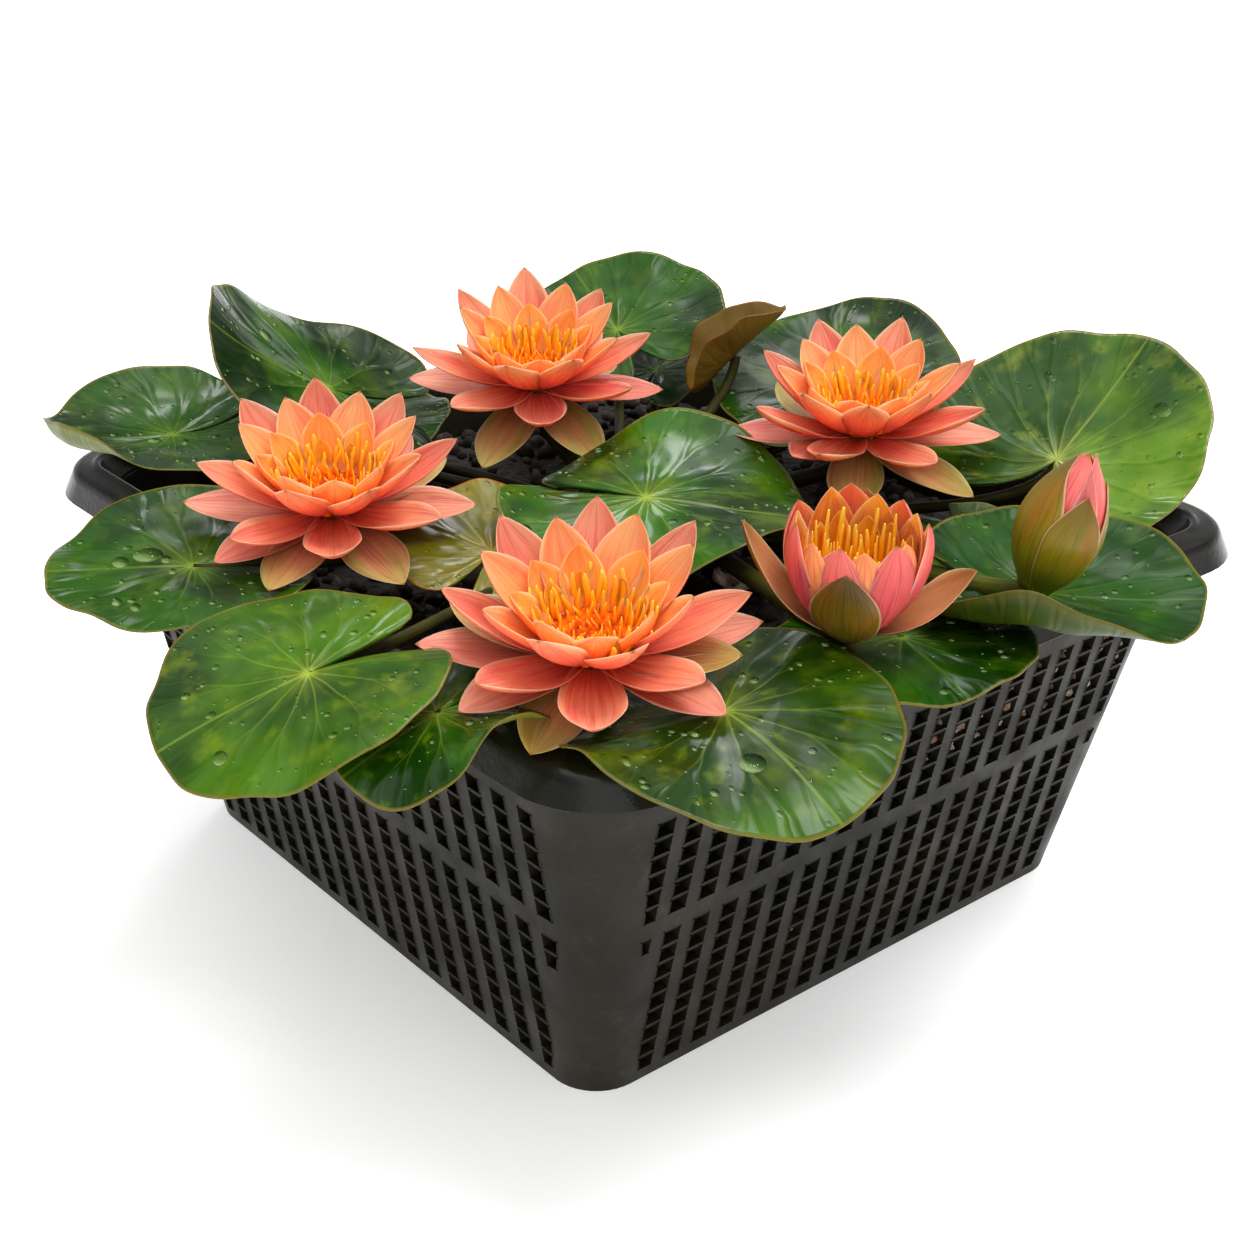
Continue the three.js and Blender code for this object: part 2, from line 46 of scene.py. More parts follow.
# ---------- mesh building
class Shell:
    """Collects points and faces into one mesh, with a UV map and a tone and a size on every point."""

    def __init__(self):
        self.points, self.uvs, self.faces, self.slots = [], [], [], []
        self.values = {"tone": [], "size": []}
        self.count = 0

    def add(self, points, groups, uv=None, slot=0, tone=0.0, size=1.0):
        """Each group is an array of faces that have the same number of corners."""
        for faces in groups:
            self.faces.append(faces + self.count)
            self.slots.append(np.full(len(faces), slot))
        self.points.append(points)
        self.uvs.append(np.zeros((len(points), 2)) if uv is None else uv)
        self.values["tone"].append(np.broadcast_to(tone, len(points)))
        self.values["size"].append(np.broadcast_to(size, len(points)))
        self.count += len(points)

    def grid(self, points, uv=None, slot=0, flip=False, closed=False, tone=0.0, size=1.0):
        """points is rows x columns x 3. closed joins the last column to the first."""
        rows, columns = points.shape[:2]
        if uv is None:
            uv = unit_square(columns, rows)
        index = np.arange(rows * columns).reshape(rows, columns)
        right = np.roll(index, -1, 1) if closed else index[:, 1:]
        left = index if closed else index[:, :-1]
        quads = np.stack([left[:-1], right[:-1], right[1:], left[1:]], -1).reshape(-1, 4)
        if flip:
            quads = quads[:, ::-1]
        self.add(points.reshape(-1, 3), [quads], uv.reshape(-1, 2), slot, tone, size)

    def sheet(self, top, bottom, uv, slots=(0, 0, 0), tone=0.0, size=1.0):
        """A closed leaf-like sheet: its upper face, its lower face and the strip round its edge."""
        self.grid(top, uv, slots[0], tone=tone, size=size)
        self.grid(bottom, uv, slots[1], flip=True, tone=tone, size=size)

        def rim(a):
            return np.concatenate([a[0, :], a[1:, -1], a[-1, -2::-1], a[-2:0:-1, 0]])

        edge = np.stack([rim(top), rim(bottom)])
        self.grid(edge, np.stack([rim(uv)] * 2), slots[2], flip=True, closed=True, tone=tone, size=size)

    def settle(self, lean, base):
        """Leans all that has been collected and moves it to its place."""
        rotation = leaning(*lean)
        self.points = [part @ rotation.T + base for part in self.points]

    def build(self, name, materials, slot, *replaces):
        corners = np.concatenate([faces.reshape(-1) for faces in self.faces])
        sizes = np.concatenate([np.full(len(faces), faces.shape[1]) for faces in self.faces])
        mesh = bpy.data.meshes.new(name)
        mesh.vertices.add(self.count)
        mesh.vertices.foreach_set("co", (np.concatenate(self.points) * MM).reshape(-1))
        mesh.loops.add(len(corners))
        mesh.loops.foreach_set("vertex_index", corners)
        mesh.polygons.add(len(sizes))
        mesh.polygons.foreach_set("loop_start", np.concatenate([[0], np.cumsum(sizes)[:-1]]))
        mesh.polygons.foreach_set("material_index", np.concatenate(self.slots))
        mesh.polygons.foreach_set("use_smooth", np.ones(len(sizes), bool))
        layer = mesh.uv_layers.new(name="UVMap")
        layer.uv.foreach_set("vector", np.concatenate(self.uvs)[corners].reshape(-1))
        for key, parts in self.values.items():
            attribute = mesh.attributes.new(key, "FLOAT", "POINT")
            attribute.data.foreach_set("value", np.concatenate(parts).astype(np.float32))
        mesh.update(calc_edges=True)
        mesh.validate()
        join_points(mesh)
        for material in materials:
            mesh.materials.append(material)
        piece = add_object(name, mesh)
        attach(piece, "root")
        if replaces:
            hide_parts(*replaces)
        return piece


def join_points(mesh, gap=1e-6):
    work = bmesh.new()
    work.from_mesh(mesh)
    bmesh.ops.remove_doubles(work, verts=work.verts, dist=gap)
    bmesh.ops.dissolve_degenerate(work, edges=work.edges, dist=gap)
    work.to_mesh(mesh)
    work.free()


def add_object(name, data):
    thing = bpy.data.objects.new(name, data)
    bpy.context.scene.collection.objects.link(thing)
    return thing


def unit(vectors):
    return vectors / np.maximum(np.linalg.norm(vectors, axis=-1, keepdims=True), 1e-9)


def unit_square(columns, rows):
    """A grid of points that runs from 0 to 1 both ways."""
    return np.stack(np.meshgrid(np.linspace(0, 1, columns), np.linspace(0, 1, rows)), -1)


def circle(steps):
    return np.linspace(0, TAU, steps, endpoint=False)


def smooth_step(low, high, value):
    share = np.clip((value - low) / (high - low), 0, 1)
    return share * share * (3 - 2 * share)


def direction(angle, rise):
    """The way to an angle in plan, raised by a rise, both in degrees."""
    turn, lift = math.radians(angle), math.radians(rise)
    return np.array([math.cos(turn) * math.cos(lift), math.sin(turn) * math.cos(lift), math.sin(lift)])


# ---------- materials
class Shade:
    """The nodes of a material or a world. Its methods add a node and give back the output to link on."""

    def __init__(self, name, home=bpy.data.materials, surface="Principled BSDF", **sockets):
        self.owner = home.new(name)
        self.owner.use_nodes = True
        self.tree = self.owner.node_tree
        self.surface = self.tree.nodes[surface]
        self.done(**sockets)

    def done(self, **sockets):
        """Sets the surface's own sockets and gives back the material or the world."""
        for key, value in sockets.items():
            self.put(self.surface.inputs[key.replace("_", " ")], value)
        return self.owner

    def put(self, socket, value):
        if isinstance(value, bpy.types.NodeSocket):
            self.tree.links.new(value, socket)
        else:
            steps = socket.type == "RGBA" and len(value) == 3
            socket.default_value = colour(*value) if steps else value

    def node(self, kind, inputs=(), **settings):
        node = self.tree.nodes.new("ShaderNode" + kind)
        for key, value in settings.items():
            setattr(node, key, value)
        for key, value in dict(inputs).items():
            self.put(node.inputs[key], value)
        return node

    def math(self, operation, a, b=0.0):
        return self.node("Math", {0: a, 1: b}, operation=operation).outputs[0]

    def plus(self, a, b):
        return self.math("ADD", a, b)

    def minus(self, a, b):
        return self.math("SUBTRACT", a, b)

    def times(self, a, b):
        return self.math("MULTIPLY", a, b)

    def absolute(self, a):
        return self.math("ABSOLUTE", a)

    def step(self, value, low, high, to_low=0.0, to_high=1.0):
        inputs = {"Value": value, "From Min": low, "From Max": high, "To Min": to_low, "To Max": to_high}
        return self.node("MapRange", inputs, interpolation_type="SMOOTHSTEP").outputs[0]

    def mix(self, share, a, b, blend="MIX"):
        node = self.node("Mix", {}, data_type="RGBA", blend_type=blend)
        for socket, value in ((node.inputs[0], share), (node.inputs[6], a), (node.inputs[7], b)):
            self.put(socket, value)
        return node.outputs[2]

    def layers(self, base, *coats):
        """Lays colours over a base one after the other, each with its share."""
        for share, shade in coats:
            base = self.mix(share, base, shade)
        return base

    def ramp(self, share, stops):
        """A colour ramp. Each stop has its position and its linear colour."""
        node = self.node("ValToRGB", {0: share})
        elements = node.color_ramp.elements
        for position, _ in stops[1:-1]:
            elements.new(position)
        for element, (position, shade) in zip(elements, stops):
            element.position = position
            element.color = shade
        return node.outputs[0]

    def value(self, name):
        return self.node("Attribute", {}, attribute_name=name).outputs["Fac"]

    def uv(self):
        split = self.node("SeparateXYZ", {0: self.node("UVMap", {}, uv_map="UVMap").outputs[0]})
        return split.outputs[0], split.outputs[1]

    def place(self):
        return self.node("TexCoord").outputs["Object"]

    def vector(self, x, y, z=0.0):
        return self.node("CombineXYZ", {0: x, 1: y, 2: z}).outputs[0]

    def noise(self, scale, detail=3.0, vector=None, rough=0.5):
        inputs = {"Scale": scale, "Detail": detail, "Roughness": rough, "Vector": vector or self.place()}
        return self.node("TexNoise", inputs).outputs["Fac"]

    def streaks(self, across, along, shift=0.0, scale=1.0, detail=4):
        """Noise drawn out over a face. across and along each give an output and how fast it varies."""
        return self.noise(scale, detail, self.vector(self.times(*across), self.times(*along), shift))

    def cells(self, scale):
        return self.node("TexVoronoi", {"Scale": scale, "Vector": self.place()}).outputs["Distance"]

    def bump(self, height, distance, strength=1.0, before=None):
        inputs = {"Height": height, "Distance": distance, "Strength": strength}
        if before:
            inputs["Normal"] = before
        return self.node("Bump", inputs).outputs[0]


def colour(red, green, blue):
    """A colour given in the usual 0 to 255 steps, as the shader's linear values."""
    def linear(step):
        share = step / 255
        return share / 12.92 if share <= 0.04045 else ((share + 0.055) / 1.055) ** 2.4
    return (linear(red), linear(green), linear(blue), 1.0)


def grey(level):
    """A grey given by its linear level."""
    return (level, level, level, 1.0)


def plastic_material():
    s = Shade("basket_plastic", Specular_IOR_Level=0.16)
    dust = s.times(s.step(s.noise(160, 6, rough=0.7), 0.52, 0.75), 0.3)
    base = s.layers((22, 21, 14), (s.step(s.noise(28, 4), 0.35, 0.7), (36, 33, 23)), (dust, (74, 66, 52)))
    rough = s.step(s.noise(90, 4), 0.3, 0.7, 0.36, 0.58)
    grain = s.bump(s.noise(1400, 2), 0.0002, 0.35)
    return s.done(Base_Color=base, Roughness=rough, Normal=s.bump(s.noise(60, 2), 0.001, 0.25, grain))


def rim_material():
    s = Shade("rim_plastic", Specular_IOR_Level=0.35)
    base = s.mix(s.step(s.noise(40, 4), 0.35, 0.7), (14, 14, 12), (24, 22, 18))
    rough = s.step(s.noise(70, 4), 0.3, 0.7, 0.16, 0.32)
    return s.done(Base_Color=base, Roughness=rough, Normal=s.bump(s.noise(900, 2), 0.0002, 0.25))


def soil_material():
    s = Shade("soil", Roughness=0.95)
    crumbs = s.cells(330)
    # The soil's near-black base is partly its own colour and partly painted shade in the gaps between the
    # leaves.
    base = s.layers((7, 6, 4), (s.step(crumbs, 0.1, 0.6), (26, 20, 14)),
                    (s.step(s.noise(420, 3), 0.6, 0.72), (58, 44, 28)))
    fine = s.bump(s.noise(900, 4), 0.001, 0.6)
    return s.done(Base_Color=base, Normal=s.bump(crumbs, 0.002, 1.0, fine))


def gravel_material():
    """Stones of several colours. A stone's size value darkens it: wetness behind the walls, painted shade on
    top of the soil.
    """
    stones = [(0.0, (70, 56, 42)), (0.25, (128, 100, 70)), (0.45, (60, 52, 46)), (0.6, (166, 140, 116)),
              (0.78, (150, 112, 96)), (0.92, (212, 200, 184))]
    speck_share, wet_and_shade_share = 0.6, 0.9
    s = Shade("gravel", Roughness=0.9, Specular_IOR_Level=0.25)
    stone = s.ramp(s.value("tone"), [(position, colour(*shade)) for position, shade in stones])
    speck = s.mix(s.step(s.noise(900, 4), 0.4, 0.65), stone, (58, 46, 36), "MULTIPLY")
    # The size value darkens a stone towards near-black: wetness on stones behind the walls, painted shade on
    # stones on top of the soil.
    base = s.layers(stone, (speck_share, speck), (s.times(s.value("size"), wet_and_shade_share), (9, 7, 5)))
    return s.done(Base_Color=base, Normal=s.bump(s.noise(1100, 4), 0.0004, 0.6))


upper_veins, lower_veins = 13, 15


def vein_distance(s, across, reach, count, where=None):
    """How far a point lies from the nearest forking vein, in mm. The veins fan out from the hub."""
    wander = s.times(s.minus(s.noise(45, 2, where), 0.5), 0.8)
    turn = s.plus(s.times(across, float(count)), wander)
    away = s.minus(s.math("FRACT", turn), 0.5)
    for spread, start in ((0.25, 0.4), (0.125, 0.66), (0.06, 0.82)):
        away = s.minus(s.absolute(away), s.step(reach, start, start + 0.5, 0.0, spread))
    arc = s.times(s.times(reach, s.value("size")), TAU / count)
    return s.times(s.absolute(away), arc)


def leaf_material(name, dark, mid, light, vein, edge, blush=0.0, veining=1.0, relief=0.6, gloss=0.2):
    """A blade's upper face: patches of green, pale forking veins and hub, a brown rim and soft folds."""
    s = Shade(name, Coat_Weight=gloss / 2, Coat_Roughness=0.08, Specular_IOR_Level=gloss)
    across, reach = s.uv()
    tone = s.value("tone")
    where = s.node("VectorMath", {0: s.place(), 1: s.vector(tone, tone)}, operation="ADD").outputs[0]
    mottle, patch = s.noise(70, 4, where), s.noise(26, 3, where)
    streak = s.streaks((across, 5.0), (reach, 1.0), tone, scale=5)
    distance = vein_distance(s, across, reach, upper_veins, where)
    line = s.times(s.step(distance, 0.05, 0.34, 1.0, 0.0),
                   s.step(reach, 0.1, 0.8, 0.3 * veining, 0.03 * veining))
    midrib = s.step(s.times(s.absolute(s.minus(across, 0.5)), reach), 0.0008, 0.0026, 0.3, 0.0)
    hub = s.plus(s.step(reach, 0.0, 0.09, 0.8, 0.0), s.step(reach, 0.03, 0.3, 0.22, 0.0))
    rim = s.step(s.plus(reach, s.times(s.minus(mottle, 0.5), 0.02)), 0.975, 0.995, 0.0, 0.7)
    blushes = [(s.step(patch, 0.5, 0.72, 0.0, blush), (120, 62, 30))] if blush else []
    base = s.layers(dark, (s.step(patch, 0.4, 0.62), mid), (s.step(mottle, 0.5, 0.76, 0.0, 0.4), light),
                    (s.step(streak, 0.5, 0.8, 0.0, 0.45), light),
                    (s.step(s.noise(60, 4, where), 0.32, 0.5, 0.5, 0.0), dark),
                    (line, vein), (midrib, vein), (hub, vein), *blushes, (rim, edge))

    rough = s.step(s.noise(36, 2, where), 0.44, 0.58, 0.2, 0.38)
    folds = s.streaks((across, 11.0), (reach, 2.2), tone, detail=1)
    height = s.plus(s.step(distance, 0.0, 1.6, 0.0, 0.16 * veining), s.times(s.noise(42, 1, where), 2.6))
    height = s.plus(height, s.times(folds, 2.0))
    normal = s.bump(height, 0.0016, relief, s.bump(s.noise(240, 2, where), 0.0002, 0.2))
    return s.done(Base_Color=base, Roughness=rough, Normal=normal)


def underside_material(name, low, high, vein):
    s = Shade(name, Roughness=0.45, Specular_IOR_Level=0.3)
    across, reach = s.uv()
    distance = vein_distance(s, across, reach, lower_veins)
    base = s.layers(low, (s.step(s.noise(60, 4), 0.35, 0.65), high),
                    (s.step(distance, 0.15, 0.5, 0.2, 0.0), vein), (s.step(reach, 0.93, 1.0, 0.0, 0.5), vein))
    ribs = s.bump(s.step(distance, 0.0, 0.9, 1.0, 0.0), 0.0003, 0.25)
    return s.done(Base_Color=base, Normal=s.bump(s.noise(300, 3), 0.0002, 0.3, ribs))


def stalk_material(name="stalk_skin", low=(24, 28, 6), high=(54, 54, 15)):
    s = Shade(name, Roughness=0.5, Specular_IOR_Level=0.1)
    across, along = s.uv()
    streak = s.streaks((across, 14.0), (along, 1.4))
    base = s.layers(low, (s.step(s.noise(50, 3), 0.35, 0.65), high),
                    (s.step(streak, 0.45, 0.75, 0.0, 0.6), (70, 44, 20)))
    return s.done(Base_Color=base, Normal=s.bump(streak, 0.0004, 0.5))


def petal_material(name, shades, point, glow):
    """Colours from a petal's base to its point, with lengthwise veins, a flushed side and a pale edge that is
    a painted rim highlight.
    """
    s = Shade(name, Subsurface_Weight=glow, Subsurface_Scale=0.0025, Subsurface_Radius=(1.0, 0.45, 0.25),
              Specular_IOR_Level=0.3)
    base, face, tip, flush, vein = shades
    across, along = s.uv()
    tone = s.value("tone")
    shift = s.times(tone, 9.0)
    side = s.absolute(s.times(s.minus(across, 0.5), 2.0))
    flushed = s.step(s.streaks((across, 3.0), (along, 2.0), shift, detail=3), 0.42, 0.66, 0.0, 0.75)
    veins = s.streaks((across, 30.0), (along, 1.8), shift, detail=5)
    midline = s.times(s.step(side, 0.0, 0.06, 1.0, 0.0), s.step(along, 0.2, 0.9, 0.15, 0.5))
    # The pale band at each petal's edge, (255, 206, 170), is a painted rim highlight.
    skin = s.layers(base, (s.step(along, 0.05, 0.55), face), (s.step(along, 0.5, 0.95, 0.0, 0.8), tip),
                    (s.step(tone, 0.0, 1.0, 0.0, 0.35), flush),
                    (s.times(flushed, s.step(side, 0.0, 0.8, 0.35, 1.0)), flush),
                    (s.step(veins, 0.5, 0.66, 0.0, 0.5), vein), (s.step(veins, 0.34, 0.48, 0.45, 0.0), tip),
                    (midline, vein), (s.step(side, 0.92, 0.99, 0.0, 0.35), (255, 206, 170)),
                    (s.step(along, 0.96, 0.995, 0.0, 0.9), point))
    rough = s.step(s.noise(200, 3), 0.35, 0.65, 0.3, 0.5)
    normal = s.bump(veins, 0.0005, 0.55, s.bump(s.noise(900, 3), 0.00015, 0.3))
    return s.done(Base_Color=skin, Roughness=rough, Normal=normal)


def stamen_material():
    s = Shade("stamens", Roughness=0.4, Specular_IOR_Level=0.25, Subsurface_Weight=0.15,
              Subsurface_Scale=0.0015, Subsurface_Radius=(1.0, 0.6, 0.1))
    along = s.uv()[1]
    base = s.layers((238, 92, 6), (s.step(along, 0.0, 0.6), (255, 180, 18)),
                    (s.step(along, 0.55, 1.0), (255, 214, 70)),
                    (s.times(s.value("tone"), 0.3), (248, 128, 10)))
    return s.done(Base_Color=base, Normal=s.bump(s.noise(1500, 2), 0.0002, 0.4))


def heart_material():
    s = Shade("flower_heart", Roughness=0.6, Specular_IOR_Level=0.1)
    base = s.mix(s.step(s.noise(500, 3), 0.4, 0.65), (184, 60, 0), (236, 112, 0))
    return s.done(Base_Color=base, Normal=s.bump(s.cells(900), 0.0006, 0.7))


def water_material():
    """Clear water: a dark side, a bright side where the light gathers, and a dark rim."""
    s = Shade("water", Roughness=0.03, IOR=1.33, Specular_IOR_Level=1.0)
    glow, rim = s.uv()
    base = s.mix(s.step(glow, 0.35, 0.85), (6, 24, 3), (176, 206, 132))
    sides = s.plus(s.step(glow, 0.6, 1.0, 0.0, 0.42), s.step(glow, 0.05, 0.45, 0.55, 0.0))
    edge = s.plus(s.step(s.noise(300, 2), 0.4, 0.7, 0.02, 0.1), s.step(rim, 0.8, 1.0, 0.0, 0.25))
    return s.done(Base_Color=base, Alpha=s.plus(sides, edge))


def scrap_material():
    s = Shade("withered_scrap", Roughness=0.3)
    # Its pale tones are partly painted light: the flake lies in shade but is coloured as bright as it shows
    # when lit.
    base = s.mix(s.step(s.noise(260, 5), 0.4, 0.62), (150, 116, 90), (240, 228, 212))
    return s.done(Base_Color=base, Normal=s.bump(s.noise(500, 5), 0.0008, 0.8))


def floor_material():
    s = Shade("floor", Roughness=0.9, Emission_Color=grey(1), Emission_Strength=0.3)
    return s.done(Base_Color=s.mix(s.noise(3, 2), grey(0.93), grey(0.95)))


# ---------- basket
bottom_half = (86, 81)
bottom_radius, radius_gain = 12, 8
wall_top_half = (108.5, 97.2)
wall_top_z = 98.6
wall_thickness = 2.0
floor_thickness = 2.4
foot_height = 1.2
rim_half = (115, 103.6)
rim_radius = 19.5
soil_top_z = 86
# The lattice: the slots' pitch along X and along Y, half their width and height, and their rows.
column_pitch = (9.17, 8.27)
outer_column = 9
slot_half = 2.15
row_half = 1.8
smallest_slot = 1.2
lower_rows = (5.4, 10.2, 15, 19.8, 24.6, 29.4, 34.2, 39, 43.8)
upper_rows = (53, 57.8, 62.6, 67.4, 72.2, 77)
belt_z = lower_rows[-1]
# How far the lattice reaches from a side's middle, and how fast that changes below and above the belt along
# X, and below and above a bend along Y.
panel_x, x_below, x_above = 84.6, 0.27, 0.1
panel_y, y_below, y_above = 67.4, 0.168, 0.094
y_start_z, y_bend_z = 3.7, 46
corner_half = math.radians(45)


def wall_half(z):
    share = z / wall_top_z
    return [low + (high - low) * share for low, high in zip(bottom_half, wall_top_half)]


def corner_radius(z):
    return bottom_radius + radius_gain * z / wall_top_z


def panel_edge(z):
    """Where the lattice stops and the plain corner begins, along X and along Y."""
    along_x = panel_x - x_below * max(belt_z - z, 0) + x_above * max(z - belt_z, 0)
    along_y = panel_y + y_below * (min(z, y_bend_z) - y_start_z) + y_above * max(z - y_bend_z, 0)
    return along_x, along_y


def wall_levels():
    """Every height where the wall's grid has a row of points, and which gaps between them are holes."""
    rows = [(row - row_half, row + row_half) for row in lower_rows + upper_rows]
    plain = [84.0, 90.0, wall_top_z - 3.0]
    levels = [0.0, foot_height, *np.ravel(rows), *plain]
    holes = [False] + [False, True] * len(rows) + [False] * len(plain)
    return np.array(levels), np.array(holes)


def side_marks(axis):
    """Distances along a face where its grid has a column of points, and which gaps are holes."""
    columns = range(-outer_column, outer_column + 1)
    marks = [column * column_pitch[axis] + side for column in columns for side in (-slot_half, slot_half)]
    holes = ([True, False] * len(columns))[:-1]
    return np.array(marks), np.array(holes)


def on_wall(along, axis, z, inset):
    """A point of the wall at a distance along a face: its place along the face and its depth."""
    half, radius = wall_half(z), corner_radius(z)
    straight, depth = half[axis] - radius, half[1 - axis]
    over = abs(along) - straight
    if over <= 0:
        return along, depth - inset
    angle = min(over / radius, corner_half)
    side = math.copysign(straight + (radius - inset) * math.sin(angle), along)
    return side, depth - radius + (radius - inset) * math.cos(angle)


def wall_strip(axis, sign, levels, inset, corner_steps=6):
    """Points of one side of the wall, out to the middle of each rounded corner."""
    marks, holes = side_marks(axis)
    rows = []
    for z in levels:
        radius = corner_radius(z)
        end = wall_half(z)[axis] - radius + radius * corner_half
        limit = min(panel_edge(z)[axis], end)
        tail = np.linspace(limit, end, corner_steps + 1)[1:]
        row = np.concatenate([-tail[::-1], np.clip(marks, -limit, limit), tail])
        spots = [on_wall(along, axis, z, inset) for along in row]
        rows.append([(sign * a, -sign * b, z) if axis == 0 else (sign * b, sign * a, z) for a, b in spots])
    corner = [False] * corner_steps
    return np.array(rows, float), np.concatenate([corner, holes, corner])


def make_basket(plastic, rim):
    levels, row_holes = wall_levels()
    shell = Shell()
    for axis in (0, 1):
        for sign in (1, -1):
            outer, column_holes = wall_strip(axis, sign, levels, 0)
            inner, _ = wall_strip(axis, sign, levels, wall_thickness)
            add_lattice(shell, outer, inner, row_holes, column_holes)
    add_rim(shell)
    add_floor(shell)
    basket = shell.build("lattice_basket", [plastic, rim], "basket", "basket")
    bevel = basket.modifiers.new("edges", "BEVEL")
    bevel.width = 0.25 * MM
    bevel.segments = 1
    bevel.limit_method = "ANGLE"
    bevel.angle_limit = math.radians(50)
    bevel.harden_normals = True


def add_lattice(shell, outer, inner, row_holes, column_holes):
    """Both skins of a wall with its holes left out, and the walls inside each hole."""
    rows, columns = outer.shape[:2]
    index = np.arange(rows * columns).reshape(rows, columns)
    inside = index + rows * columns
    wide = np.linalg.norm(outer[:, 1:] - outer[:, :-1], axis=-1) > smallest_slot
    open_cell = row_holes[:, None] & column_holes[None, :] & wide[:-1] & wide[1:]
    faces = []
    for i in range(rows - 1):
        for j in range(columns - 1):
            corners = [(i, j), (i, j + 1), (i + 1, j + 1), (i + 1, j)]
            a, b, c, d = (index[corner] for corner in corners)
            e, f, g, h = (inside[corner] for corner in corners)
            if open_cell[i, j]:
                faces += [(a, e, f, b), (b, f, g, c), (c, g, h, d), (d, h, e, a)]
            else:
                faces += [(a, b, c, d), (f, e, h, g)]
    shell.add(np.concatenate([outer.reshape(-1, 3), inner.reshape(-1, 3)]), [np.array(faces)])


def loop_at(half, inset, radius, z, steps=10):
    """A rounded rectangle that lies inside the given half sizes by the inset."""
    angles = np.radians([start + 90 * k / steps for start in (0, 90, 180, 270) for k in range(steps + 1)])
    signs = np.repeat([(1, 1), (-1, 1), (-1, -1), (1, -1)], steps + 1, axis=0)
    x = signs[:, 0] * (half[0] - inset - radius) + radius * np.cos(angles)
    y = signs[:, 1] * (half[1] - inset - radius) + radius * np.sin(angles)
    return np.stack([x, y, np.full(len(x), z)], -1)


def wall_loop(z, inset):
    return loop_at(wall_half(z), inset, corner_radius(z) - inset, z)


def add_rim(shell):
    """The turned-over rim: up the wall's inner face, over the top with its raised lip, down the skirt and
    back under the plate to the wall's outer face."""
    overlap, inner_start, outer_end = 0.1, 94.6, 95.5
    profile = [(7.9, 98.6), (7.6, 100.3), (7.0, 101.0), (6.2, 101.1), (5.6, 100.6), (4.6, 100.2),
               (2.4, 100.3), (1.0, 100.0), (0.2, 99.3), (-0.4, 98.0), (-2.4, 93.7), (-2.6, 93.3),
               (-1.6, 93.3), (-0.9, 93.7), (1.2, 97.8), (2.4, 98.6), (5.4, 98.4)]
    loops = [wall_loop(inner_start, wall_thickness + overlap)]
    loops += [loop_at(rim_half, inset, rim_radius - inset, z) for inset, z in profile]
    loops.append(wall_loop(outer_end, -overlap))
    shell.grid(np.array(loops), slot=1, closed=True)


def add_floor(shell):
    """The floor's underside and its upper face, each drawn in towards the middle."""
    middle = (30, 60, 80.5)
    under = [(0.0, foot_height), (0.0, 0.3), (0.4, 0.0)] + [(inset, 0.0) for inset in middle]
    upper = [(wall_thickness, foot_height), (wall_thickness, floor_thickness)]
    upper += [(inset, floor_thickness) for inset in middle]
    for profile, flip in ((under, True), (upper, False)):
        loops = [loop_at(bottom_half, inset, max(bottom_radius - inset, 0.2), z) for inset, z in profile]
        shell.grid(np.array(loops), closed=True, flip=flip)


# ---------- soil, gravel and crown
def add_lump(shell, rng, place, radii, tone, wet_and_shade, rings=5, sides=8, rough=0.16):
    """A rounded stone: a squashed ball with an uneven skin."""
    polar = np.linspace(0, math.pi, rings + 1)[1:-1, None]
    turn = circle(sides)
    ball = np.stack([np.sin(polar) * np.cos(turn), np.sin(polar) * np.sin(turn),
                     np.cos(polar) * np.ones(sides)], -1).reshape(-1, 3)
    ball = np.concatenate([ball, [(0, 0, 1), (0, 0, -1)]])
    ball *= 1 + rough * rng.uniform(-1, 1, (len(ball), 1))
    spin = np.linalg.qr(rng.normal(size=(3, 3)))[0]
    here = np.arange((rings - 1) * sides).reshape(rings - 1, sides)
    after = np.roll(here, -1, 1)
    quads = np.stack([here[:-1], here[1:], after[1:], after[:-1]], -1).reshape(-1, 4)
    top, low = len(ball) - 2, len(ball) - 1
    caps = [(top, a, b) for a, b in zip(here[0], after[0])]
    caps += [(low, b, a) for a, b in zip(here[-1], after[-1])]
    shell.add((ball * radii) @ spin.T + place, [quads, np.array(caps)], tone=tone, size=wet_and_shade)


def soil_height(x, y):
    """The soil's top: it falls away towards the walls and has low ripples."""
    middle, half, fall, swell = 85.2, (104, 93), 3.5, 0.7
    edge = np.maximum(np.abs(x) / half[0], np.abs(y) / half[1])
    ripple = np.sin(x * 0.19 + 1.3) * np.sin(y * 0.23) + 0.6 * np.sin(x * 0.41 + y * 0.33)
    return middle - fall * edge ** 3 + swell * ripple


def make_soil(material):
    """A dented block of soil that shows in the slots, with a rippled top."""
    gap, least_dent, deepest_dent = 0.5, 0.2, 1.8
    rng = np.random.default_rng(11)
    loops = [subdivided(loop_at(wall_half(z), wall_thickness + gap, corner_radius(z) - 1, z, steps=8))
             for z in np.linspace(3, 82, 34)]
    loops = np.array(loops)
    dents = rng.uniform(0, 1, loops.shape[:2])
    inward = -unit(loops * (1, 1, 0))
    loops = loops + inward * (least_dent + deepest_dent * dents[..., None] ** 2)
    top = [loops[-1] * (k, k, 1) for k in (0.97, 0.9, 0.8, 0.65, 0.5, 0.35, 0.2, 0.08, 0.0)]
    for ring in top:
        ring[:, 2] = soil_height(ring[:, 0], ring[:, 1]) + rng.uniform(-0.5, 0.5, len(ring))
    under = loops[:1] * (0.0, 0.0, 1.0)
    shell = Shell()
    shell.grid(np.concatenate([under, loops, np.array(top)]), closed=True)
    shell.build("soil_body", [material], "soil", "soil")


def subdivided(loop, long_side=36, parts=40):
    """A closed loop of points with each of its long straight sides cut into equal parts."""
    cut = []
    for a, b in zip(loop, np.roll(loop, -1, 0)):
        pieces = parts if np.linalg.norm(b - a) >= long_side else 1
        cut += [a + (b - a) * (k / pieces) for k in range(pieces)]
    return np.array(cut)


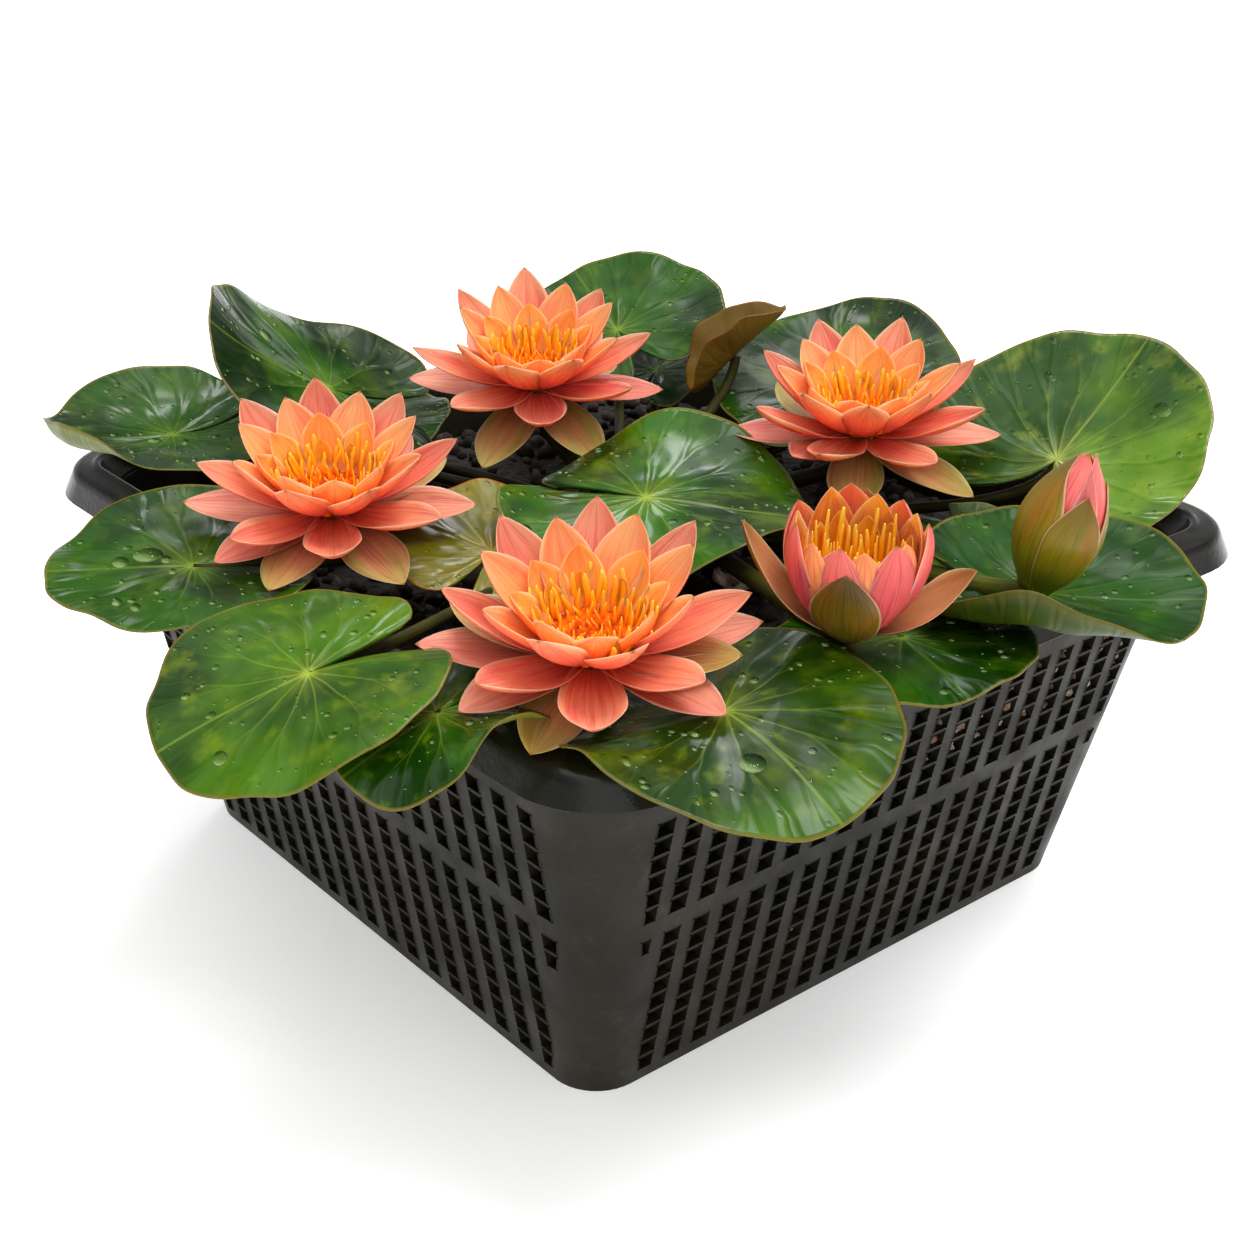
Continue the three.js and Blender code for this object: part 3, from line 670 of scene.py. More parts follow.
def make_gravel(material):
    """Stones on the soil, stones behind every wall, and dry ones in the upper slots of one wall."""
    top_stones, wall_stones, dry_stones = 1500, 900, 170
    field, top_half, corner, gap = (101, 90), (84, 73), 16, 0.5
    dry_z, dry_reach, sink = 60, 80, 0.25
    shell = Shell()
    rng = np.random.default_rng(5)
    for _ in range(top_stones):
        x, y = (rng.uniform(-half, half) for half in field)
        if max(abs(x) - top_half[0], 0) ** 2 + max(abs(y) - top_half[1], 0) ** 2 > corner ** 2:
            continue
        size = rng.uniform(1.2, 3.0)
        radii = size * rng.uniform(0.6, 1.1, 3)
        place = (x, y, float(soil_height(x, y)) + sink * size)
        # Stones on top of the soil are darkened in full: painted shade in the gaps between the leaves.
        add_lump(shell, rng, place, radii, rng.uniform(), 1.0)
    for _ in range(wall_stones):
        axis, sign = rng.integers(2), rng.choice((-1, 1))
        z = rng.uniform(4, 80)
        half, size = wall_half(z), rng.uniform(0.8, 2.2)
        along = rng.uniform(-1, 1) * (half[axis] - corner)
        depth = half[1 - axis] - wall_thickness - gap - size * rng.uniform(0.6, 1.3)
        place = (along, sign * depth, z) if axis == 0 else (sign * depth, along, z)
        mostly_dry = z > dry_z and axis == 1 and sign > 0
        add_lump(shell, rng, place, size * rng.uniform(0.6, 1.0, 3), rng.uniform(),
                 rng.uniform() ** (3.0 if mostly_dry else 0.8))
    for _ in range(dry_stones):
        along, z, size = rng.uniform(4, dry_reach), rng.uniform(dry_z, 82), rng.uniform(1.2, 2.2)
        depth = wall_half(z)[0] - wall_thickness + 0.2 - size * 0.4
        add_lump(shell, rng, (depth, along, z), size * rng.uniform(0.7, 1.0, 3), rng.uniform(0.6, 1.0),
                 rng.uniform(0.0, 0.35))
    shell.build("gravel", [material], "soil")


def make_crown(material):
    """The rhizome crown: a knobbly dome of old leaf bases."""
    rng = np.random.default_rng(3)
    rings, sides, least_radius, knob, uneven = 20, 48, 13.3, 0.7, 0.15
    polar, turn = np.linspace(0, math.pi / 2, rings)[:, None], circle(sides)[None]
    knobs = np.abs(np.sin(turn * 5 + 3 * polar)) * np.abs(np.sin(polar * 7))
    radius = least_radius + knob * knobs + rng.uniform(-uneven, uneven, (rings, sides))
    dome = np.stack([radius * np.sin(polar) * np.cos(turn), radius * np.sin(polar) * np.sin(turn),
                     soil_top_z - 1 + radius * np.cos(polar)], -1)
    shell = Shell()
    shell.grid(dome, closed=True, flip=True)
    shell.build("crown_dome", [material], "crown", "crown")


# ---------- leaves
leaf_thickness = 0.9
lobe_turn, lobe_depth, tip_stretch, cleft_mouth = 26, 0.28, 0.05, 0.65
blade_thickness = 0.7
# Every leaf: its hub; its tip's heading and rise and the blade's roll, in degrees; its radius, half its cleft
# in degrees, its hollow, its fold (strength, angle) and its wave (mm, angle); then its stalk's start (angle
# round the crown, rise) and bend (share of the way, height, shift), and its look.
leaf_keys = ("hub", "heading", "pitch", "roll", "radius", "notch", "cup", "saddle", "wave", "root", "via",
             "look")
leaf_rows = {
    "left_mid": ((-15, -113, 105), 240, 2, -6, 31, 8, 0.05, (-0.07, 12), (1.5, 0),
                 (272, 20), (0.75, 103, 14), "dark"),
    "left_back": ((-79, -84, 112), 252, 1, -4, 31, 11, 0.15, (-0.03, -30), (2.5, -25),
                  (228, 20), (0.93, 97, 0), "dark"),
    "back_tip": ((-65, -46, 120), 259, 28, -20, 36, 8, 0.09, (0.04, 0), (-4, -28),
                 (214, 24), (0.97, 93, 0), "dark"),
    "back_left": ((-82, -37, 104), 143, 7, 2, 33, 9, 0.06, (0.03, 20), (3, 13),
                  (200, 20), (0.93, 95, 0), "dark"),
    "back_top": ((-58, 45, 120), 163, 13, -18, 32, 9, 0.05, (0, 0), (-1.5, -14),
                 (145, 48), (0.95, 100, 0), "dark"),
    "back_inner": ((-56, 58, 106), 122, 11, -11, 24, 9, 0.04, (0.02, 0), (2.5, 40),
                   (128, 20), (0.93, 95, 0), "dark"),
    "back_right": ((1, 74, 114), 133, 18, -3, 34, 9, 0.03, (0.03, -24), (-2.5, 0),
                   (90, 20), (0.93, 96, 0), "dark"),
    "right_tall": ((79, 71, 114), 87, 36, 5, 37, 45, 0.1, (-0.02, 0), (-0.7, 0),
                   (42, 20), (0.95, 95, 0), "pale"),
    "right_low": ((120, 17, 108), 37, 0, 3, 32, 12, 0.14, (-0.09, 0), (2, 0),
                  (10, 20), (0.8, 103, 0), "deep"),
    "right_front": ((113, -19, 106), -19, 2, 1, 27, 10, -0.02, (-0.03, 0), (1, 0),
                    (-12, 20), (0.8, 102.8, 4), "deep"),
    "front_right": ((114, -69, 106), -5, 0, 5, 33, 16, -0.1, (-0.17, 12), (2, 0),
                    (-34, 20), (0.8, 102.8, -10), "fresh"),
    "front_small": ((80, -112, 106), 273, -8, 6, 22, 10, -0.07, (-0.06, 0), (-5, -12),
                    (-52, 16), (0.8, 103, 0), "green"),
    "front_left": ((55, -125, 109), 254, -15, -7, 31, 14, -0.04, (-0.09, 32), (-0.6, 60),
                   (-68, 14), (0.75, 103, 4), "fresh"),
    "centre": ((31, -19, 112), 31, 0, 8, 37, 11, -0.02, (0, 0), (-6, 0), (-30, 78), (0.8, 104, 0), "green"),
    "olive": ((19, -55, 104), 118, 12, 13, 24, 9, 0, (0, 0), (1, 0), (-76, 48), (0.9, 98, 0), "olive"),
    "bronze": ((-18, 53, 121), 60, 43, 0, 18, 8, 0.25, (-0.3, 0), (0, 0), (108, 48), (0.9, 104, 0), "bronze"),
    "right_inner": ((81, 37, 103), -20, -4, 0, 18, 9, 0.03, (0.04, 0), (1, 30),
                    (26, 14), (0.93, 94, 0), "dark"),
}
leaves = {name: dict(zip(leaf_keys, row)) for name, row in leaf_rows.items()}
leaves["left_back"]["curl"] = (15, 60, 0.8, 100)
leaves["right_low"]["curl"] = (-100, 64, 0.78, 105)
leaves["bronze"]["narrow"] = 0.42
young_looks = ("olive", "bronze")


def leaf_axes(leaf):
    """The ways to the blade's tip, to its side and up from it."""
    tip = direction(leaf["heading"], leaf["pitch"])
    yaw, bank = math.radians(leaf["heading"]), math.radians(leaf["roll"])
    level = np.array([-math.sin(yaw), math.cos(yaw), 0])
    side = level * math.cos(bank) + np.cross(tip, level) * math.sin(bank)
    return tip, side, np.cross(tip, side)


def wave(degrees):
    return np.sin(np.radians(degrees))


def blade(leaf, reach, across):
    """Points of the blade. reach runs from the hub to the margin, across from one cleft edge to the other."""
    scallop = 0.006
    tip, side, normal = leaf_axes(leaf)
    notch, radius, seed = leaf["notch"], leaf["radius"], leaf["heading"]
    angle = across * (180 - notch * (1 - cleft_mouth + cleft_mouth * reach))
    margin_angle = across * (180 - notch)
    open_share = np.clip((180 - notch - np.abs(margin_angle)) / lobe_turn, 0, 1)
    lobe = 1 - lobe_depth + lobe_depth * np.sqrt(1 - (1 - open_share) ** 2)
    margin = radius * lobe * (1 + tip_stretch * np.cos(np.radians(margin_angle)))
    margin = margin * (1 + scallop * (wave(margin_angle * 9 + seed) + 0.7 * wave(margin_angle * 17 - seed)))
    shortened, curled = curl_of(leaf, reach, angle, margin)
    distance = reach * margin - shortened
    fold, fold_angle = leaf["saddle"]
    ripple, phase = leaf["wave"]
    height = radius * (leaf["cup"] + fold * np.cos(np.radians(2 * (angle - fold_angle)))) * reach ** 2
    height = height + ripple * reach ** 3 * wave(3 * angle + phase)
    frill = 0.5 * wave(angle * 7 + 2 * seed) + 0.3 * wave(angle * 11 + seed)
    height = height + (frill * smooth_step(0.55, 1.0, reach) + curled)
    radians = np.radians(angle)
    forward, aside = distance * np.cos(radians), distance * np.sin(radians) * leaf.get("narrow", 1)
    return (np.array(leaf["hub"]) + tip * forward[..., None] + side * aside[..., None]
            + normal * height[..., None])


def curl_of(leaf, reach, angle, margin):
    """How much a rolled-up margin shortens the blade, and how far it lifts. A curl gives its middle and
    width in degrees, the reach that it starts at and how far it rolls, in degrees."""
    middle, width, start, roll = leaf.get("curl", (0, 1, 1, 0))
    fade = np.clip(1 - np.abs(angle - middle) / width, 0, 1)
    full = np.clip((reach - start) / (1.0001 - start), 0, 1)
    rolled = np.radians(roll) * fade * fade * (3 - 2 * fade) * full
    loose = np.clip(reach - start, 0, 1) * margin
    return loose * (1 - np.sinc(rolled / math.pi)), loose * (1 - np.cos(rolled)) / np.maximum(rolled, 1e-6)


def surface_normals(points):
    return unit(np.cross(np.gradient(points, axis=0), np.gradient(points, axis=1)))


def make_leaf(name, leaf, materials):
    rings, sectors, flat_hub = 30, 112, 0.3
    across, reach = np.meshgrid(np.linspace(-1, 1, sectors), np.linspace(0.0, 1.0, rings) ** 0.85)
    top = blade(leaf, reach, across)
    normal = np.broadcast_to(leaf_axes(leaf)[2], top.shape)
    if "curl" in leaf:
        facing = surface_normals(top)
        facing *= np.sign(np.sum(facing * normal, -1).mean())
        normal = unit(np.where(reach[..., None] < flat_hub, normal, facing))
        normal[:, 0], normal[:, -1] = normal[:, 1], normal[:, -2]
    thin = blade_thickness * (1 - 0.6 * smooth_step(0.85, 1.0, reach))
    uv = np.stack([across * 0.5 + 0.5, reach], -1)
    shell = Shell()
    shell.sheet(top, top - normal * thin[..., None], uv, (0, 1, 0), tone=leaf["heading"] * 0.037,
                size=float(leaf["radius"]))
    slot = "young_leaf" if leaf["look"] in young_looks else "leaf"
    shell.build(f"blade_{name}", materials, slot, f"leaf_{name}")


# ---------- stalks
crown_radius = 14
clearance = 0.3
stalk_first_rise = 7
seat_depth = 0.2


def stalk_route(end, root, via, steps=40):
    """A curve from the crown's skin to the end."""
    away = direction(*root)
    start = np.array([0, 0, soil_top_z + clearance]) + away * (crown_radius + clearance)
    way = (end - start) * (1, 1, 0)
    left = unit(np.array([-way[1], way[0], 0.0]))
    share, height, aside = via
    bend = start + way * share + left * aside
    bend[2] = height
    t = np.linspace(0, 1, steps)[:, None]
    first = start + away * stalk_first_rise / away[2]
    return (1 - t) ** 3 * start + 3 * (1 - t) ** 2 * t * first + 3 * (1 - t) * t ** 2 * bend + t ** 3 * end


def make_stalk(name, seat, normal, plant, radius, material, node):
    """A round, tapering skin along the stalk's route, with its ends drawn in."""
    sides = 14
    route = stalk_route(seat - normal * seat_depth, plant["root"], plant["via"])
    radii = radius * (1.08 - 0.12 * np.linspace(0, 1, len(route)))
    ahead = unit(np.gradient(route, axis=0))
    across = unit(np.cross(ahead, (0.13, 0.21, 0.97)))
    up = np.cross(across, ahead)
    turn = circle(sides)[None, :, None]
    ring = across[:, None] * np.cos(turn) + up[:, None] * np.sin(turn)
    skin = route[:, None] + ring * radii[:, None, None]
    skin = np.concatenate([skin[:1] * 0 + route[0], skin, skin[-1:] * 0 + route[-1]])
    length = np.concatenate([[0], np.cumsum(np.linalg.norm(np.diff(route, axis=0), axis=1))])
    along = np.concatenate([length[:1], length, length[-1:]]) / 10
    shell = Shell()
    shell.grid(skin, np.stack(np.meshgrid(np.linspace(0, 1, sides), along), -1), closed=True)
    shell.build(name, [material], "stalk", node)


# ---------- flowers
front_angle = -39
petal_rows, petal_columns = 20, 11
scale_rows, scale_columns = 26, 15
petal_thickness, scale_thickness = 0.42, 0.4
most_swing = 3.5
# Each look's colours, for a petal's inner face and then its back: base, face, tip, flushed side and veins.
petal_shades = {
    "outer": (((226, 74, 42), (248, 138, 102), (244, 152, 126), (212, 76, 78), (206, 74, 62)),
              ((206, 56, 50), (232, 98, 84), (240, 128, 108), (212, 66, 72), (196, 56, 58))),
    "middle": (((252, 112, 24), (255, 170, 94), (252, 170, 124), (242, 120, 84), (236, 112, 66)),
               ((230, 80, 46), (246, 126, 92), (248, 146, 112), (230, 86, 74), (214, 76, 58))),
    "inner": (((255, 130, 14), (255, 172, 70), (255, 176, 104), (248, 124, 60), (240, 112, 44)),
              ((246, 110, 36), (255, 150, 84), (254, 164, 108), (242, 108, 66), (230, 96, 44))),
    "golden": (((252, 128, 8), (255, 168, 34), (255, 190, 74), (250, 136, 30), (240, 120, 24)),
               ((250, 124, 12), (255, 160, 44), (255, 184, 84), (248, 128, 36), (236, 112, 28))),
    "sepal": (((196, 92, 70), (214, 128, 94), (180, 156, 84), (136, 134, 50), (160, 76, 58)),
              ((112, 112, 40), (116, 110, 42), (106, 90, 36), (150, 92, 44), (92, 88, 28))),
    "bud_petal": (((240, 100, 60), (250, 150, 100), (242, 124, 100), (222, 76, 76), (206, 72, 58)),
                  ((196, 56, 66), (232, 88, 90), (240, 118, 106), (208, 56, 70), (184, 40, 56))),
    "cup_inner": (((250, 118, 24), (255, 164, 70), (255, 176, 96), (246, 118, 54), (240, 108, 34)),
                  ((236, 92, 50), (250, 132, 80), (250, 146, 92), (230, 84, 56), (214, 70, 44))),
    "cup_sepal": (((184, 108, 64), (206, 136, 92), (160, 116, 60), (150, 104, 50), (170, 86, 54)),
                  ((70, 76, 6), (106, 88, 12), (54, 42, 8), (136, 84, 22), (60, 56, 6))),
    "bud_sepal": (((102, 122, 8), (138, 120, 10), (92, 68, 12), (156, 94, 20), (92, 88, 4)),) * 2,
}
warm_tipped = ("inner", "golden", "cup_inner")
dull = ("cup_sepal", "bud_sepal")
looks = list(petal_shades)
stamen_slot = 2 * len(looks)
heart_slot = stamen_slot + 1
# A ring of petals: how many, the first one's angle, length, half width, start, rise from base to tip, how
# deep it is hollowed, and how far its petals nod on the flower's front.
ring_keys = ("count", "first", "length", "half", "start", "rise", "cup", "nod", "look")
open_rings = [
    (8, 0, 30, 6.6, (4, 2.4), (10, 46), 0.38, 13, "outer"),
    (8, 22.5, 24.5, 6.2, (5, 3.8), (28, 60), 0.44, 1, "middle"),
    (8, 6, 15.5, 5.1, (7, 5.4), (40, 70), 0.5, -1, "inner"),
    (9, 28, 8.0, 2.2, (9.2, 6.4), (58, 84), 0.45, 0, "golden"),
]
cup_rings = [
    (7, 0, 27.5, 7.0, (5, 3.1), (34, 106), 0.4, -2, "bud_petal"),
    (7, 25, 25, 6.2, (5.5, 4.2), (40, 106), 0.42, 0, "cup_inner"),
    (11, 5, 18, 3.2, (6.5, 6), (52, 104), 0.45, 0, "golden"),
]
# Stamens: their length, then each ring's radius, count, height as a share of it, outward lean and width.
open_stamens = (8.4, [(9.2, 18, 1.0, 3.2, 0.95), (8.4, 20, 0.88, 2.2, 0.78), (7.2, 18, 0.7, 1.0, 0.62),
                      (5.8, 15, 0.5, 0.2, 0.5), (4.3, 12, 0.38, -0.4, 0.45), (2.4, 7, 0.3, -0.3, 0.4)])
cup_stamens = (16.5, [(8.5, 16, 1.0, 0.8, 0.85), (7.2, 15, 0.96, -0.4, 0.75), (5.4, 12, 0.88, -1.0, 0.65),
                      (3.4, 8, 0.8, -1.0, 0.6)])
outer_form = dict(half=6.9, start=(3.6, 1.6), cup=0.24, look="outer")
sepal_forms = {
    "open": dict(half=7.0, start=(3, 1.0), cup=0.16, look="sepal"),
    "cup": dict(half=7.3, start=(4.5, 1.1), cup=0.26, look="cup_sepal"),
}
# Outer petals and sepals are single ones: each has its angle, length and rise from base to tip.
flowers = {
    "left": dict(
        form="open", lean=(-39, 12), base=(-9, -80, 110.4), turn=8, root=(256, 48), via=(0.97, 98, 0),
        outer=((-92, 31, -4, 8), (-46, 29, -6, 10), (92, 30, -5, 6), (150, 29, 0, 14), (215, 29, 0, 14)),
        sepals=((-17, 31, 1, 2), (34, 31, -2, 0), (130, 30, 1, 4), (215, 30, 1, 4))),
    "back": dict(
        form="open", lean=(-39, 12), base=(-34, -2, 117.6), turn=4, root=(185, 48), via=(0.95, 104, 0),
        outer=((-92, 30, -4, 10), (82, 30, -4, 8), (150, 29, 0, 14), (215, 29, 0, 14)),
        sepals=((-22, 31, -11, -8), (30, 31, -11, -6), (140, 30, -11, -8), (225, 30, -11, -8))),
    "right": dict(
        form="open", lean=(-39, 8), base=(42, 41, 115.4), turn=20, root=(45, 48), via=(0.96, 100, 0),
        outer=((-88, 30, -4, 10), (-40, 27, 2, 24), (86, 31, -4, 6), (170, 29, 0, 14)),
        sepals=((42, 33, -8, -2), (-10, 26, -12, -14), (140, 30, 0, 6), (215, 30, 0, 6))),
    "front": dict(
        form="open", lean=(-39, 12), base=(87, -80, 109.4), turn=0, root=(-47, 48), via=(0.98, 96, 0),
        outer=((-92, 31, -2, 10), (-52, 28, 2, 4), (52, 29, 4, 0), (96, 31, 6, 14)),
        sepals=((-25, 24, -8, -14), (75, 28, 12, 14), (160, 30, 15, 19), (250, 28, 12, 14))),
    "cup": dict(
        form="cup", lean=(-39, 9), base=(110, -31, 109.4), turn=26, root=(-16, 48), via=(0.92, 103, 0),
        outer=(), sepals=((-92, 32, 32, 74), (-16, 24.5, 34, 98), (78, 26, 24, 58), (170, 28, 28, 84))),
}
bud = dict(base=(123, 10, 112.4), height=31.5, lean=(51, 17), root=(14, 48), via=(0.9, 103.8, 0))


def leaning(toward, tilt):
    """Turns the upright axis towards an angle in plan."""
    t, a = math.radians(toward), math.radians(tilt)
    axis = np.array([-math.sin(t), math.cos(t), 0])
    cross = np.array([[0, -axis[2], axis[1]], [axis[2], 0, -axis[0]], [-axis[1], axis[0], 0]])
    return np.eye(3) + math.sin(a) * cross + (1 - math.cos(a)) * cross @ cross


def petal_width(share):
    """Half width along a petal, as a share of the widest: narrow base, full middle, pointed tip."""
    widest = 0.54
    base = 0.42 + 0.58 * np.sin(0.5 * math.pi * np.clip(share / widest, 0, 1))
    tip = np.clip((share - widest) / (1 - widest), 0, 1)
    return base * (1 - tip ** 2.1) ** 0.92


def petal_points(form, angle, twist, hook):
    """The upper and lower face of one petal about the flower's axis."""
    share = np.linspace(0, 1, petal_rows)
    low, high = (math.radians(value) for value in form["rise"])
    now = low + (high - low) * share
    length = form["length"]
    out = form["start"][0] + length * (np.sin(now) - math.sin(low)) / (high - low)
    up = form["start"][1] + length * (math.cos(low) - np.cos(now)) / (high - low)
    bend = hook * np.clip((share - 0.8) / 0.2, 0, 1) ** 2
    out, up = out - np.sin(now) * bend, up + np.cos(now) * bend
    across = np.linspace(-1, 1, petal_columns)
    half = (form["half"] * petal_width(share))[:, None]
    spread = half * across * (1 - 0.1 * form["cup"] * across ** 2)
    ripple = half * np.sin(across * 7 + 5 * share[:, None] + angle) * np.abs(across) ** 3
    lift = form["cup"] * half * across ** 2 + twist * spread * share[:, None] + 0.06 * ripple
    thick = petal_thickness * (1 - 0.65 * np.abs(across) ** 3) * (1 - 0.5 * share[:, None])
    turn = math.radians(front_angle + angle)

    def placed(raise_by):
        a = out[:, None] - np.sin(now)[:, None] * (lift + raise_by)
        z = up[:, None] + np.cos(now)[:, None] * (lift + raise_by)
        return np.stack([a * math.cos(turn) - spread * math.sin(turn),
                         a * math.sin(turn) + spread * math.cos(turn), z], -1)

    return placed(0), placed(-thick)


def add_petal(shell, rng, form, angle, twist, hook):
    """twist is the most that the petal turns either way, hook the least and most that its tip bends up."""
    tone = rng.uniform()
    faces = petal_points(form, angle, rng.uniform(-twist, twist), rng.uniform(*hook))
    slot = looks.index(form["look"]) * 2
    shell.sheet(*faces, unit_square(petal_columns, petal_rows), (slot, slot + 1, slot), tone=tone)


def add_stamens(shell, rng, length, rings):
    """Flattened threads standing in rings round the heart."""
    heart_top, flat, steps, sides = 6.3, 0.55, 9, 6
    turn = circle(sides)[:, None]
    t = np.linspace(0, 1, steps)[:, None]
    uv = np.stack(np.meshgrid(np.linspace(0, 1, sides), np.append(t, 1.0)), -1)
    for radius, count, tall, lean, wide in rings:
        for k in range(count):
            angle = TAU * (k + rng.uniform(-0.35, 0.35)) / count
            out = np.array([math.cos(angle), math.sin(angle), 0])
            side = np.array([-out[1], out[0], 0])
            height = length * tall * rng.uniform(0.8, 1.12)
            bow = lean * rng.uniform(0.5, 1.4)
            route = out * (radius + bow * (1.5 * t - 0.5 * t ** 3)) + (0, 0, heart_top)
            route = route + (0, 0, 1) * (height * t)
            route = route + side * (rng.uniform(-1.2, 1.2) * t ** 2 + rng.uniform(-0.4, 0.4) * np.sin(5 * t))
            width = wide * rng.uniform(0.85, 1.15) * (1 - 0.3 * t) * (1 - 0.45 * t ** 8)
            ring = side * np.cos(turn) + out * np.sin(turn) * flat
            skin = route[:, None] + ring * width[..., None]
            skin = np.concatenate([skin, route[-1:, None] + ring * 0 + (0, 0, 0.35)])
            shell.grid(skin, uv, stamen_slot, closed=True, tone=rng.uniform())


def add_heart(shell):
    """The heart under the stamens. The first loops of its outline are its green underside."""
    green = 3
    profile = [(0.1, 0), (4.0, 0.1), (4.8, 1.2), (5.2, 3.5), (9.0, 6.6), (9.2, 7.2), (5.0, 6.8), (3.6, 5.6),
               (1.2, 5.2), (0.1, 5.9)]
    heart = np.array([[(r * math.cos(a), r * math.sin(a), z) for a in circle(32)] for r, z in profile])
    shell.grid(heart[:green + 1], slot=2 * looks.index("bud_sepal") + 1, closed=True)
    shell.grid(heart[green:], slot=heart_slot, closed=True)


def make_flower(name, flower, materials):
    rng = np.random.default_rng(sum(ord(letter) for letter in name))
    shell = Shell()
    is_open = flower["form"] == "open"
    for row in open_rings if is_open else cup_rings:
        ring = dict(zip(ring_keys, row))
        for k in range(ring["count"]):
            angle = ring["first"] + flower["turn"] + 360 * k / ring["count"]
            angle += rng.uniform(-most_swing, most_swing)
            length = ring["length"] * rng.uniform(0.95, 1.05)
            swing = rng.uniform(-most_swing, most_swing)
            nod = ring["nod"] * math.cos(math.radians(angle))
            rise = (ring["rise"][0] + swing * 0.6 - nod, ring["rise"][1] + swing - nod)
            half = ring["half"] * rng.uniform(0.94, 1.06)
            add_petal(shell, rng, dict(ring, length=length, rise=rise, half=half), angle, 0.12, (0.2, 1.0))
    for singles, shape in ((flower["outer"], outer_form), (flower["sepals"], sepal_forms[flower["form"]])):
        for angle, length, low, high in singles:
            add_petal(shell, rng, dict(shape, length=length, rise=(low, high)), angle, 0.1, (0, 0.8))
    add_stamens(shell, rng, *(open_stamens if is_open else cup_stamens))
    add_heart(shell)
    shell.settle(flower["lean"], flower["base"])
    shell.build(f"bloom_{name}", materials, "petal", f"flower_{name}")


def make_bud(materials):
    """Overlapping sepals round rolled petals. Each has its angle, radius, share of the height and half
    width in degrees."""
    shell = Shell()
    petals = [(-48, 9.0, 0.985, 80), (62, 8.9, 1.0, 80), (180, 8.8, 0.97, 80)]
    sepals = [(172, 9.7, 0.9, 60), (84, 9.5, 0.84, 42), (-94, 9.6, 0.97, 74), (4, 9.9, 0.76, 38)]
    petal_slot, sepal_slot = 2 * looks.index("bud_petal") + 1, 2 * looks.index("bud_sepal")
    square = unit_square(scale_columns, scale_rows)
    for group, slot in ((petals, petal_slot), (sepals, sepal_slot)):
        for angle, radius, tall, spread in group:
            faces = bud_scale(angle, radius, tall, spread, group is sepals)
            shell.sheet(*faces, square, (slot,) * 3, tone=0.15 + (angle % 50) / 200)
    shell.settle(bud["lean"], bud["base"])
    shell.build("bud_scales", materials, "bud", "bud")


def bud_scale(angle, radius, tall, spread, wide_base):
    """One scale wrapped round the bud, pointed at its tip."""
    share = np.linspace(0, 1, scale_rows)
    stations = (0, 0.08, 0.2, 0.42, 0.62, 0.82, 0.95, 1.0)
    girth = np.interp(share * tall, stations, (0.32, 0.55, 0.82, 1.0, 0.9, 0.58, 0.22, 0.03))
    girth = np.convolve(np.pad(girth, 2, mode="edge"), np.ones(5) / 5, "valid")
    width = petal_width(share)
    if wide_base:
        width[:np.argmax(width)] = width.max()
    else:
        width = width ** 0.35
    across = np.linspace(-1, 1, scale_columns)
    wrap = math.radians(spread) * np.clip(width, 0.02, 1)[:, None] * across
    turn = math.radians(front_angle + angle) + wrap
    z = bud["height"] * (share * tall)[:, None] + 0 * across

    def skin(offset):
        reach = radius * girth[:, None] * (1 + 0.03 * across ** 2) + offset
        return np.stack([reach * np.cos(turn), reach * np.sin(turn), z], -1)[:, ::-1]

    return skin(0), skin(-scale_thickness)


# ---------- water and a withered scrap
light_heading = direction(-60, 0)
# A leaf, the drop's reach and place across it, and its radius.
large_drops = [("front_right", 0.5, -0.12, 2.7), ("left_mid", 0.35, -0.15, 3.2),
               ("left_mid", 0.5, -0.05, 2.2), ("right_tall", 0.7, -0.25, 2.2), ("back_tip", 0.55, -0.2, 2.2),
               ("left_back", 0.2, 0.2, 1.6), ("front_left", 0.75, 0.15, 1.7)]


def add_drop(shell, leaf, reach, across, radius, stretch, sides=9, flat=0.55):
    """A lens of water standing on a leaf. Its first UV value grows the way the light travels through it."""
    spot, normal = blade_spot(leaf, reach, across)
    side = unit(np.cross(normal, (0.3, 0.5, 0.81)))
    other = np.cross(normal, side)
    turn = circle(sides)
    rings, uv = [], []
    for angle in np.radians((180, 96, 70, 44, 20, 0)):
        away = radius * math.sin(angle)
        height = radius * flat * math.cos(angle) if angle < 1.6 else -0.12 * radius
        ring = side * (np.cos(turn) * away * stretch)[:, None]
        ring = ring + other * (np.sin(turn) * away / stretch)[:, None]
        rings.append(spot + ring + normal * height)
        glow = 0.5 + 0.5 * (ring @ light_heading) / (radius * max(stretch, 1 / stretch))
        uv.append(np.stack([glow, np.full(sides, away / radius)], -1))
    shell.grid(np.array(rings), np.array(uv), closed=True)


def blade_spot(leaf, reach, across):
    """A point of a blade and the way up from it."""
    step = 0.01
    near = np.array([[reach, reach], [reach + step, reach + step]])
    turn = np.array([[across, across + step]] * 2)
    patch = blade(leaf, near, turn)
    normal = unit(np.cross(patch[1, 0] - patch[0, 0], patch[0, 1] - patch[0, 0]))
    return patch[0, 0], normal if normal @ leaf_axes(leaf)[2] > 0 else -normal


def make_water(material):
    drops_per_area = 0.085
    rng = np.random.default_rng(21)
    shell = Shell()
    for leaf in leaves.values():
        for _ in range(int(drops_per_area * leaf["radius"] ** 2)):
            reach, across = math.sqrt(rng.uniform(0.02, 0.93)), rng.uniform(-0.97, 0.97)
            radius = 0.35 + 0.65 * rng.uniform() ** 3 + (0.6 if rng.uniform() < 0.06 else 0)
            add_drop(shell, leaf, reach, across, radius, rng.uniform(0.8, 1.4))
    for name, reach, across, radius in large_drops:
        add_drop(shell, leaves[name], reach, across, radius, rng.uniform(0.9, 1.2), sides=20, flat=0.4)
    shell.build("water_drops", [material], "leaf")


